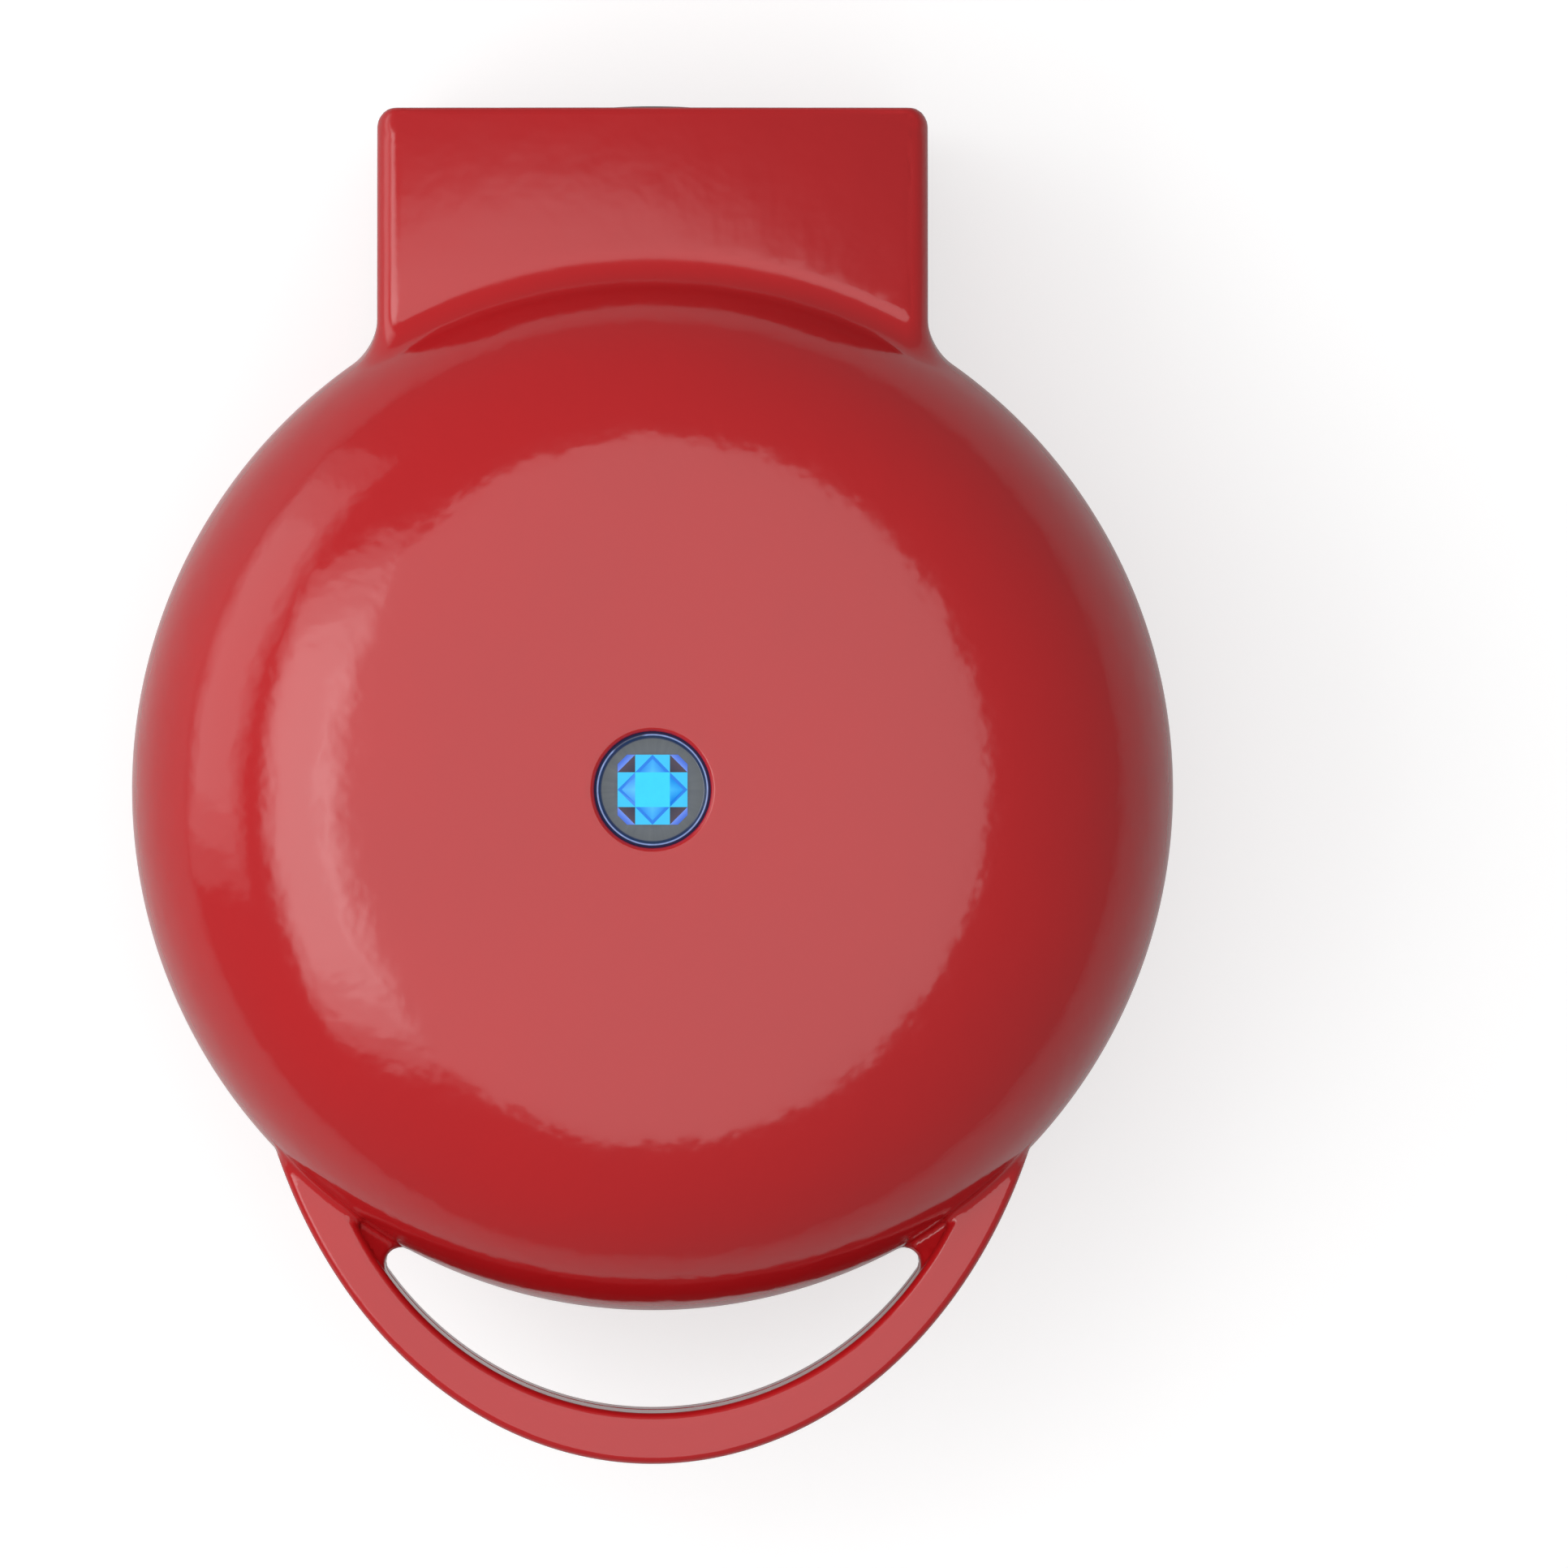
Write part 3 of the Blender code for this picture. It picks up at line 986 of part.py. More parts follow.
def make_thermostat(base, shield, finishes):
    """Disc thermostat on the plate's back, held by a riveted bracket under the shield."""
    top = level(base, PLATE_BACK + FIT)
    shoulder = level(base, SHIELD_BACK)
    low = top - THERMOSTAT_LENGTH
    body = [
        (0, low), (THERMOSTAT_NECK, low), (THERMOSTAT_NECK, shoulder), (THERMOSTAT_RADIUS, shoulder),
        (THERMOSTAT_RADIUS, top), (0, top),
    ]
    turned("thermostat", body, INNER_SIDES // 2, base.carrier, finishes["ceramic"])
    under = shoulder - FIT
    outline = rectangle(-BRACKET_HALF_LENGTH, BRACKET_HALF_LENGTH, -BRACKET_HALF_WIDTH, BRACKET_HALF_WIDTH)
    bracket = prism(
        "thermostat_bracket", outline, under - BRACKET_THICKNESS, under, base.carrier, finishes["aluminised sheet"]
    )
    rivets = [(-RIVET_PLACE, 0), (RIVET_PLACE, 0)]
    bottom = under - BRACKET_THICKNESS - BITE
    neck = THERMOSTAT_NECK + FIT
    shank = RIVET_RADIUS + FIT
    combine(bracket, "DIFFERENCE", rods("bracket_bore", [(0, 0)], neck, bottom, under + BITE, SMALL_SIDES * 2,
                                        base.carrier))
    combine(bracket, "DIFFERENCE", rods("bracket_holes", rivets, shank, bottom, under + BITE, SCREW_SIDES,
                                        base.carrier))
    ends = (shoulder - BITE, level(base, SHIELD_FLOOR - BITE))
    combine(shield, "DIFFERENCE", rods("shield_rivet_holes", rivets, shank, *ends, SCREW_SIDES, base.carrier))
    seat = under - BRACKET_THICKNESS - FIT
    tail = level(base, SHIELD_FLOOR) + FIT
    rivet = [
        (0, seat - RIVET_HEAD_HEIGHT), (RIVET_HEAD_RADIUS, seat - RIVET_HEAD_HEIGHT), (RIVET_HEAD_RADIUS, seat),
        (RIVET_RADIUS, seat), (RIVET_RADIUS, tail), (RIVET_HEAD_RADIUS, tail),
        (RIVET_HEAD_RADIUS, tail + RIVET_TAIL), (0, tail + RIVET_TAIL),
    ]
    for name, (x, y) in zip(("thermostat_rivet_left", "thermostat_rivet_right"), rivets):
        turned(name, rivet, SCREW_SIDES, base.carrier, finishes["steel"], (x, y, 0))


def make_wiring(base, finishes):
    """Terminal block, fuse, internal wires, and the sleeved lead up to the hinge's centre."""
    carrier = base.carrier
    front = BLOCK_REAR - TERMINAL_SETBACK - TERMINAL_DEPTH
    centre_y = front + TERMINAL_DEPTH / 2
    low = INNER_FLOOR + TERMINAL_BOSS_HEIGHT + FIT
    top = low + TERMINAL_HEIGHT
    outline = rectangle(-TERMINAL_HALF_WIDTH, TERMINAL_HALF_WIDTH, front, front + TERMINAL_DEPTH)
    block = prism("terminal_block", outline, low, top, carrier, finishes["ceramic"])
    shank = SMALL_SHANK_RADIUS + FIT
    hole = rods("terminal_hole", [(0, centre_y)], shank, low - OVERRUN, top + OVERRUN, SCREW_SIDES, carrier)
    combine(block, "DIFFERENCE", hole)
    small_screw(
        "terminal_block_screw", TERMINAL_HEIGHT + 2 * FIT + TERMINAL_SCREW_GRIP, carrier, finishes["steel"],
        (0, centre_y, top + FIT), (0, 0, 1),
    )
    fuse_z = level(base, SHIELD_BACK) - FIT - FUSE_RADIUS
    turned(
        "thermal_fuse", rod(FUSE_RADIUS, -FUSE_HALF_LENGTH, FUSE_HALF_LENGTH), SMALL_SIDES, carrier,
        finishes["ceramic"], (0, -FUSE_PLACE, fuse_z), (1, 0, 0),
    )
    route = FLOOR_HEIGHT + WIRE_LEVEL
    leg_x, leg_y = heater_leg(1)
    reach = HEATER_RADIUS + FIT
    fuse_end = FUSE_HALF_LENGTH + FIT
    neck = THERMOSTAT_NECK + FIT
    end = front - TERMINAL_WIRE_RUN
    fuse_ends = [(side * fuse_end, -FUSE_PLACE, fuse_z) for side in (-1, 1)]
    live_start = [(-TERMINAL_WIRE_X, front - FIT, route), (-TERMINAL_WIRE_X - BITE, end, route)]
    neutral_start = [(TERMINAL_WIRE_X, front - FIT, route), (TERMINAL_WIRE_X + FIT, end, route)]
    near, far = leg_y - reach, leg_y + reach
    wires = {
        "live_wire": [*live_start, *LIVE_WIRE_ROUTE, fuse_ends[0]],
        "thermostat_wire": [fuse_ends[1], *THERMOSTAT_WIRE_ROUTE, (0, -neck, THERMOSTAT_WIRE_HEIGHT)],
        "heater_wire": [
            (0, neck, THERMOSTAT_WIRE_HEIGHT), *HEATER_WIRE_ROUTE, (-leg_x, near - HEATER_WIRE_STUB, route),
            (-leg_x, near, route),
        ],
        "neutral_wire": [
            *neutral_start, *NEUTRAL_WIRE_ROUTE, (leg_x, far + HEATER_WIRE_STUB, route), (leg_x, far, route)
        ],
    }
    for name, points in wires.items():
        tube(name, smooth_route(points, 2), WIRE_RADIUS, 1, carrier, finishes["wire"])
    lead = [(x, centre_y + y, top + z) for x, y, z in LOWER_LEAD_FROM_TERMINAL]
    lead.append((-LOWER_LEAD_X, HINGE_Y - LOWER_LEAD_Y, HINGE_Z - LOWER_LEAD_DROP))
    lead += [(x, HINGE_Y + y, HINGE_Z + z) for x, y, z in LOWER_LEAD_FROM_HINGE]
    tube("lower_lead", smooth_route(lead, LEAD_STEPS), LEAD_RADIUS, 1, carrier, finishes["sleeve"])


def make_gland(base, finishes):
    """Bush that lines the cord's hole in the back wall."""
    inner = -BLOCK_WALL - FIT
    profile = [
        (GLAND_BORE_RADIUS, inner - GLAND_LIP), (GLAND_LIP_RADIUS, inner - GLAND_LIP), (GLAND_LIP_RADIUS, inner),
        (GLAND_NECK_RADIUS, inner), (GLAND_NECK_RADIUS, FIT), (GLAND_FLANGE_RADIUS, FIT),
        (GLAND_FLANGE_RADIUS, FIT + GLAND_FLANGE), (GLAND_BORE_RADIUS, FIT + GLAND_FLANGE),
    ]
    turned(
        "cord_gland", profile, PIN_SIDES, base.carrier, finishes["black plastic"],
        (0, BLOCK_REAR, GLAND_HEIGHT), (0, 1, 0),
    )


def make_bottom(base, finishes):
    """Vented bottom cover with its screws, and the feet."""
    carrier = base.carrier
    top = FLOOR_HEIGHT - FIT
    low = top - COVER_THICKNESS
    cover = turned("bottom_cover", rod(COVER_RADIUS, low, top), INNER_SIDES, carrier, finishes["black plastic"])
    places = ring_places(COVER_RADIUS - COVER_SCREW_INSET, COVER_SCREW_ANGLES)
    recess = low + COVER_SCREW_RECESS
    head, shank = SMALL_HEAD_RADIUS + FIT, SMALL_SHANK_RADIUS + FIT
    combine(cover, "DIFFERENCE", rods("cover_recesses", places, head, low - OVERRUN, recess, SMALL_SIDES, carrier))
    combine(cover, "DIFFERENCE", rods("cover_holes", places, shank, recess - BITE, top + OVERRUN, SCREW_SIDES, carrier))
    slots = []
    for number in range(VENT_COUNT):
        y = (number - (VENT_COUNT - 1) / 2) * VENT_PITCH
        slots.append(rectangle(-VENT_HALF_LENGTH, VENT_HALF_LENGTH, y - VENT_HALF_WIDTH, y + VENT_HALF_WIDTH))
    vents = add_object("vents", prism_mesh("vents", slots, low - OVERRUN, top + OVERRUN), carrier, None)
    combine(cover, "DIFFERENCE", vents)
    for number, (x, y) in enumerate(places, 1):
        small_screw(
            f"cover_screw_{number}", COVER_SCREW_GRIP, carrier, finishes["steel"], (x, y, recess - FIT), (0, 0, -1)
        )
    foot = [
        (0, 0), (FOOT_RADIUS - FOOT_EDGE, 0), (FOOT_RADIUS, FOOT_EDGE), (FOOT_RADIUS, FOOT_HEIGHT),
        (FOOT_PEG_RADIUS, FOOT_HEIGHT), (FOOT_PEG_RADIUS, FOOT_HEIGHT + FOOT_PEG_LENGTH),
        (0, FOOT_HEIGHT + FOOT_PEG_LENGTH),
    ]
    for corner, (x, y) in foot_places().items():
        turned(f"foot_{corner}", foot, PIN_SIDES, carrier, finishes["rubber"], (x, y, 0))


def make_carriers():
    """Empties that carry the base and, on the hinge's axis, the lid."""
    whole = bpy.data.objects.new("waffle_maker", None)
    whole.location = (0, CENTRE_SHIFT, 0)
    hinge = bpy.data.objects.new("lid_hinge_axis", None)
    hinge.parent = whole
    hinge.location = (0, HINGE_Y, HINGE_Z)
    for empty in (whole, hinge):
        bpy.context.collection.objects.link(empty)
    lid = Half("upper", 1, Carrier(hinge, Vector((0, HINGE_Y, HINGE_Z))))
    base = Half("lower", -1, Carrier(whole, Vector((0, 0, 0))))
    return lid, base


def main():
    for old in list(bpy.data.objects):
        bpy.data.objects.remove(old)
    lid, base = make_carriers()
    finishes = make_finishes()
    for half in (lid, base):
        make_ring(half, finishes)
        make_plate(half, finishes)
        make_heater(half, finishes)
    make_lid_shell(lid, finishes)
    make_shield(lid, HOLDER_FLANGE_RADIUS / 2, finishes)
    make_indicator(lid, finishes)
    make_hinge_pins(lid, finishes)
    make_lid_leads(lid, finishes)
    make_base_shell(base, finishes)
    lower_shield = make_shield(base, THERMOSTAT_HOLE, finishes)
    make_thermostat(base, lower_shield, finishes)
    make_wiring(base, finishes)
    make_gland(base, finishes)
    make_bottom(base, finishes)


main()
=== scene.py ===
"""Mini waffle maker: the fine pieces, finishes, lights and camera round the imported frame.

Lengths are in millimetres in the drawing's own frame, whose Z axis is the body's centre line, until a mesh
is placed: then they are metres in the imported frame.
"""

import functools
import math

import bpy
import numpy as np
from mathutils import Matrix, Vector


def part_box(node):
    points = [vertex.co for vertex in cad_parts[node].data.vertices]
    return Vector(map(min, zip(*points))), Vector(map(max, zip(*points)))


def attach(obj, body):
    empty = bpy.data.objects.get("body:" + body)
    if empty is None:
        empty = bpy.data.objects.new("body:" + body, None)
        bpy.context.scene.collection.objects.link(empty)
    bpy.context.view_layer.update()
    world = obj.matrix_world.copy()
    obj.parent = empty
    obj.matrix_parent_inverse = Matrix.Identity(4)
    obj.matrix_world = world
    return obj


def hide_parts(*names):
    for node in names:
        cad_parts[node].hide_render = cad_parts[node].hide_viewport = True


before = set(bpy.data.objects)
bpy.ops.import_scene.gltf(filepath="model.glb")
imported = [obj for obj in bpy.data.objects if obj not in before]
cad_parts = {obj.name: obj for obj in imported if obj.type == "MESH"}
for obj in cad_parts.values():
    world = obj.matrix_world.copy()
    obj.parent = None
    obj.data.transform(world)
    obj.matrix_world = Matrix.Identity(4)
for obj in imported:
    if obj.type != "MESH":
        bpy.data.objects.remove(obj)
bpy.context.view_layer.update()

MM = 0.001
lens_low, lens_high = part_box("indicator_lens")
CENTRE_Y = (lens_low.y + lens_high.y) / 2

# Photograph's frame: its side and the body's centre in pixels, a pixel in metres
PHOTO_SIDE = 1932
BODY_CENTRE = (804, 973)
PIXEL = 0.0000994
CAMERA_RISE = 1.5

# Studio
FLOOR_HALF = 6.0
FLOOR_PATCHES = 300
FLOOR_GLOW = 0.62
MIRRORED_GLOW = 0.15
LAMP_AIM = 0.05
FILL = 0.2
MIRRORED_FILL = 0.12
SOFTBOX_SHARES = (0.7, 0.95, 1.2)
SOFTBOX_STEP = 0.02
OVERHEAD = {"place": (0, 0, 1.0), "width": 1.16, "height": 1.39, "radiance": 1.42, "shape": "ELLIPSE"}
UPPER_LEFT = {"tilt": 37.5, "turn": -3, "distance": 1.05, "width": 1.0, "height": 0.42, "radiance": 3.3}
LOWER_LEFT = {"tilt": 74, "turn": 18, "distance": 1.1, "width": 1.1, "height": 0.60, "radiance": 1.7}

# Body shells
BODY_RADIUS = 63.5
WALL = 2.3
SHELL_INNER = BODY_RADIUS - WALL
CROWN = 28.6
PARTING = 37.0
RIM_GAP = 0.4
SKIRT = 5.0
LID_RIM = PARTING + RIM_GAP
BASE_RIM = PARTING - RIM_GAP
LID_SHOULDER = LID_RIM + SKIRT
BASE_SHOULDER = BASE_RIM - SKIRT
FLOOR = 6.0
BOWL_EDGE = 0.8
HOLLOW_EDGE = 0.5
INNER_FLOOR = FLOOR + WALL
TOP = LID_SHOULDER + CROWN

# Hinge block, the shading of its top, and the hinge
BLOCK_HALF = 33.5
BLOCK_REAR = 83.0
BLOCK_TOP = 51.0
BLOCK_WALL = 2.2
BLOCK_CORNER = 2.5
BLOCK_SIDE_ROUND = 2.8
BLOCK_REAR_ROUND = 0.9
BLOCK_ROUND_BLEND = 5.0
BLOCK_FILLET = 3.0
BLOCK_ROOT = 25.0
BLOCK_CROWN = 0.4
BLOCK_FALL = 1.2
BLOCK_FALL_START = 52.0
ROOM_EDGE = 0.25
CEILING_STEP = 0.65
SHADED_CROWN = 0.0066
SHADED_CROWN_SHIFT = 15.0
SHADED_FALL = 0.0095
DULLED = (54, 66)
HINGE_Y = 76.3
HINGE_Z = 43.6
HINGE_SETBACK = 6.7
BARREL = 4.2
BARREL_HALF = 29.0
BARREL_PLAY = 0.3
BARREL_EDGE = 0.3
LEAD_BORE = 2.6
LEAD_BORE_HALF = 18.0
PIN_BORE = 1.6
PIN_BOSS = 3.6
PIN_SKIN = 0.6
ARM_START = 20.5
ARM_FRONT = 62.3
ARM_REAR = 74.1
ARM_ROOT = 0.5
ARM_FILLET = 0.8
TOE_Z = 37.6
TOE_ACROSS = 0.632
TOE_UP = 0.775
NECK_Z = 41.5
STOP_Y = 75.7
STOP_LEAN = math.radians(10)

# Passages of the leads: the barrel's two windows, the holes beside the hinge, across from the middle and
# from the hinge's line, the wires' slot and the gland's hole
WINDOW_START = 3
WINDOW_END = 17
WINDOW_REACH = 5
LOWER_WINDOW_TOP = 2.1
UPPER_WINDOW_FOOT = -1.9
WINDOW_EDGE = 0.2
PASSAGE = 3.2
LID_PASSAGE = (14.6, 3.0)
LID_PASSAGE_SPAN = (50, 64.5)
BASE_PASSAGE = (-15.5, -9.0)
SLOT = ((-11, 11), (46.2, 63.5), (12.5, 19.5))
GLAND_Z = 20.0
GLAND_HOLE = 5.0
GLAND_HOLE_SPAN = (79.8, 85.0)

# Handle loops
HANDLE_CENTRE = -19.8
HANDLE_HALF = 49.7
HANDLE_FRONT = -82.1
GAP_CENTRE = -33.1
GAP_HALF = 40.6
GAP_FRONT = -75.9
UPPER_LOOP_TOP = 47.0
LOWER_LOOP_FOOT = 29.6
LOOP_EDGE = 1.1
LOOP_OVERLAP = 4
RIM_EDGE = 0.35
LOOP_FILLET = 1.2
OUTER_FILLET = 0.12
GAP_END = 2.0
WEB_STEP = 1.8
WEB_REACH = 1.2
WEB_LEAN = 0.45
WEB_EDGE = 0.9
FILLET_FADE = 2.0

# Screws, each by its head's radius and height and its shank's radius and length, their places and bosses
QUARTERS = ((1, 1), (-1, 1), (-1, -1), (1, -1))
SCREW_SIDES = 48
THREAD_PITCH = 0.7
THREAD_ROOT = 0.8
RING_SCREW = (1.8, 1.1, 1.0, 7.0)
COVER_SCREW = (1.8, 1.1, 1.0, 6.0)
PLATE_SCREW = (2.9, 2.0, 1.4, 5.5)
SCREW_BORE = 1.3
HEAD_RECESS = 2.1
RING_BOSS_PLACE = 58.4 / math.sqrt(2)
RING_BOSS = 3.3
RING_BOSS_SPAN = (3.0, 11.5)
RING_BORE_END = 11.0
BOSS_COVER = 1
COVER_BOSS_PLACE = 35.0 / math.sqrt(2)
COVER_BOSS = 3.0
COVER_BOSS_TOP = 14.0
COVER_BORE_TOP = 12.9
COVER_SCREW_Z = 4.6
TERMINAL_Y = 67.0
TERMINAL_BOSS = 3.2
TERMINAL_BOSS_TOP = 12.3
TERMINAL_BORE_SPAN = (8.8, 13.5)
PLATE_SCREWS = ((35.5, 20.5), (-35.5, 20.5), (0.0, -41.0))
PLATE_SCREW_DEPTH = 19.1

# Indicator: its hole, the lens's profile of radius and height, the direction in which the painted highlight
# on its lip stays dim, and the radii between which its colour, painted glow and painted highlight change
LENS_HOLE = 6.98
LENS_HOLE_EDGE = 0.65
LIP_HIGHLIGHT_DIM = math.radians(117)
LENS_PROFILE = (
    (0, 66.9), (9.3, 66.9), (9.3, 68.4), (6.9, 68.4), (6.9, 70.1), (6.72, 70.45), (6.5, 70.45),
    (6.25, 70.05), (4.4, 69.95), (0, 69.95),
)
LENS_ROUND = 0.18
LENS_SIDES = 96
LENS_RIM = (5.95, 6.3)
LIP_HIGHLIGHT_START = (6.46, 6.53)
LIP_HIGHLIGHT_END = (6.63, 6.71)
LIP_HIGHLIGHT_DIM_SPREAD = (0.93, 0.97)
HALO_START = (6.6, 4.6)
HALO_END = (4.8, 4.2)

# Feet, their pads on the base, and the cord's gland, with profiles of radius and height
FEET = ((27.0, -36.0), (24.0, 72.0))
FOOT_PAD = 6.5
FOOT_PAD_SPAN = (3.3, 11.0)
FOOT_PAD_EDGE = 0.3
FOOT_PAD_FILLET = 0.4
FOOT_BORE = 2.5
FOOT_BORE_SPAN = (3.0, 8.1)
FOOT_PROFILE = (
    (0, 0.5), (3.2, 0.5), (3.8, 0), (6.0, 0), (6.0, 3.0), (2.2, 3.0), (2.2, 7.5), (0, 7.5),
)
FOOT_ROUND = 0.5
ROUND_SIDES = 64
GLAND_PROFILE = (
    (3.4, -4.0), (5.8, -4.0), (5.8, -2.5), (4.7, -2.5), (4.7, 0.3), (6.4, 0.3), (6.4, 1.3), (3.4, 1.3),
)
GLAND_ROUND = 0.35

# Jewel of the indicator: half widths, heights, and its facets with the glow of all or each of their
# corners. A corner marked - or + belongs to the quarter before or after.
JEWEL_TABLE = 2.08
JEWEL_HALF = 4.19
JEWEL_CORNER = 3.05
JEWEL_LINE = 0.36
JEWEL_TOP = 70.6
JEWEL_STEP = 70.3
JEWEL_SIDE = 70.05
JEWEL_CUT = 70.0
JEWEL_FOOT = 69.0
# The glows are the lit indicator's light, with painted highlights and painted shade that make some facets
# lighter and others darker
JEWEL_GLOWS = {
    "table": (0.03, 0.66, 0.95),
    "light": (0.04, 0.56, 0.92),
    "bright": (0.07, 0.52, 0.97),
    "inner": (0.03, 0.38, 0.90),
    "deep": (0.01, 0.25, 0.82),
    "line": (0.01, 0.21, 0.78),
    "pale": (0.18, 0.31, 0.88),
    "violet": (0.07, 0.16, 0.68),
    "dusk": (0.075, 0.052, 0.075),
    "dark": (0.026, 0.028, 0.062),
}
JEWEL_FACETS = (
    (("deep", "inner", "bright"), ("-table_high", "inner_tip", "table_side")),
    (("bright", "inner", "deep"), ("table_side", "inner_tip", "table_low")),
    (("line",), ("-table_corner", "side", "inner_tip", "-table_high")),
    (("line",), ("table_low", "inner_tip", "side", "table_corner")),
    (("light",), ("-table_corner", "-upper_step", "side")),
    (("light",), ("table_corner", "side", "right_step")),
    (("dark", "dusk", "dusk"), ("table_corner", "right_step", "upper_step")),
    (("pale", "violet", "violet", "pale"), ("right_step", "right_cut", "upper_cut", "upper_step")),
    (("line",), ("side", "side_foot", "right_foot", "right_cut", "right_step")),
    (("line",), ("right_cut", "right_foot", "upper_foot", "upper_cut")),
    (("line",), ("upper_step", "upper_cut", "upper_foot", "+side_foot", "+side")),
)

# Ring and plate: depths behind the parting plane, radii, edges and fillets
RING_FACE = 0.6
RING_BACK = 3.1
LEDGE_FACE = 10.7
LEDGE_BACK = 12.7
RING_OUTER = 60.9
RING_EDGE = 0.45
LEDGE_EDGE = 0.4
RING_FILLET = 0.3
SKIRT_OUTER = 53.9
SKIRT_INNER = 52.3
LEDGE_INNER = 49.3
RING_RECESS = 1.5
RING_BORE_SPAN = (0, 4)
RECESS_EDGE = 0.25
RING_SCREW_DEPTH = 1.2
PLATE_RADIUS = 52.0
PLATE_RIM = 0.15
PLATE_FLOOR = 8.2
PLATE_BACK = 10.4
PLATE_EDGE = 0.5
PLATE_BOSS = 3.4
PLATE_BOSS_END = 17.7
PLATE_BOSS_EDGE = 0.3
PLATE_BOSS_FILLET = 0.5
PLATE_BORE = 1.7
PLATE_BORE_SPAN = (12.3, 18.8)
MOUTH = 49.8
MOUTH_DRAFT = 0.186
MOUTH_EDGE = 0.7
DISH_FILLET = 1.6
PEG_PITCH = 14.4
PEG_FOOT = 5.5
PEG_TIP_DEPTH = 2.7
PEG_DRAFT = 0.409
PEG_SLOPE = 0.926
PEG_CORNER = 1.1
PEG_CUT_CORNER = 0.9
PEG_TIP_EDGE = 0.8
PEG_FILLET = 0.9
PEG_CIRCLE = 46.0
PEG_KEPT = 43.0
NO_PEG = 10.0

# Bottom cover, its vents and its groove
COVER_RADIUS = 37.5
COVER_FACE = 3.5
COVER_BACK = 5.7
COVER_EDGE = 0.6
COVER_OPENING = 32.0
VENT_PITCH = 6.0
VENT_HALF = 11.8
VENT_RADIUS = 1.2
VENT_EDGE = 0.35
GROOVE_PLACE = (31.0, 3.2)
GROOVE_RADIUS = 0.7
GROOVE_EDGE = 0.2
COVER_RECESS_TOP = 4.9

# Meshes made from distance fields: their grids' reach and depths, cells, pull to a cell's mean place and
# triangles
LID_SPAN = ((-65.5, -84, 35.5), (65.5, 85, 73))
BASE_SPAN = ((-65.5, -84, 1.5), (65.5, 85, 49.5))
COVER_SPAN = ((-38.8, -38.8, 2.3), (38.8, 38.8, 7))
RING_REACH = 62.3
RING_DEPTHS = (-1, 14)
PLATE_REACH = 53.6
PLATE_DEPTHS = (-1.2, 19)
SHELL_CELL = 0.6
PLATE_CELL = 0.6
RING_CELL = 0.5
MEAN_PULL = 0.08
SHELL_TRIANGLES = 190000
PLATE_TRIANGLES = 150000
RING_TRIANGLES = 90000


def join(a, b, radius=0.0):
    """Union of two distance fields, with a fillet of that radius in the corner between them."""
    if np.ndim(radius) == 0 and radius == 0:
        return np.minimum(a, b)
    return np.maximum(radius, np.minimum(a, b)) - np.hypot(
        np.maximum(radius - a, 0), np.maximum(radius - b, 0)
    )


def common(a, b, radius=0.0):
    """Intersection of two distance fields, with a rounding of that radius on the edge between them."""
    return -join(-a, -b, radius)


def cut(a, b, radius=0.0):
    """First field less the second, the cut's edge rounded."""
    return common(a, -b, radius)


def superellipse(r, h, radius, height):
    """Distance to the turned curve (r / radius)^4 + (h / height)^2 = 1, upright below h = 0:
    the value of the formula divided by the length of its gradient."""
    h = np.maximum(h, 0)
    value = (r / radius) ** 4 + (h / height) ** 2 - 1
    slope = np.hypot(4 * r**3 / radius**4, 2 * h / height**2)
    return value / np.maximum(slope, 1e-3)


def ellipse(x, y, centre, half_width, front):
    """Distance to an upright elliptic cylinder about (0, centre) that reaches half_width sideways."""
    half_length = centre - front
    value = np.hypot(x / half_width, (y - centre) / half_length)
    slope = np.hypot(x / half_width**2, (y - centre) / half_length**2)
    return value * (value - 1) / np.maximum(slope, 1e-6)


def slab(value, low, high):
    """Distance to what lies between two planes."""
    return np.maximum(low - value, value - high)


def box(*sides):
    """Distance to what lies within every (value, low, high) given."""
    return functools.reduce(np.maximum, (slab(*side) for side in sides))


def rod(u, v, along, radius, low, high, edge=0.0):
    """Distance to a round rod about the axis that u and v are measured from."""
    return common(np.hypot(u, v) - radius, slab(along, low, high), edge)


def handle_band(x, y):
    """Plan distance to the band between the handle's outer ellipse and the gap's."""
    outer = ellipse(x, y, HANDLE_CENTRE, HANDLE_HALF, HANDLE_FRONT)
    gap = ellipse(x, y, GAP_CENTRE, GAP_HALF, GAP_FRONT)
    return np.maximum(np.maximum(outer, -gap), y - HANDLE_CENTRE)


def end_of_gap():
    """Centre of the round end of the finger gap, which touches the gap's ellipse and the body's circle, and
    the directions from it to the two. It lies on the ellipse's normal where both are GAP_END away."""
    first, last, tries = 0.3, 1.2, 2000
    angle = np.linspace(first, last, tries)
    length = GAP_CENTRE - GAP_FRONT
    wall = np.stack([GAP_HALF * np.sin(angle), GAP_CENTRE - length * np.cos(angle)], 1)
    normal = np.stack([np.sin(angle) / GAP_HALF, -np.cos(angle) / length], 1)
    normal /= np.linalg.norm(normal, axis=1, keepdims=True)
    centres = wall - GAP_END * normal
    reach = np.linalg.norm(centres, axis=1)
    nearest = np.argmin(np.abs(reach - BODY_RADIUS - GAP_END))
    centre = centres[nearest]
    return centre, normal[nearest], -centre / reach[nearest]


GAP_END_PLACE, TO_WALL, TO_BODY = end_of_gap()


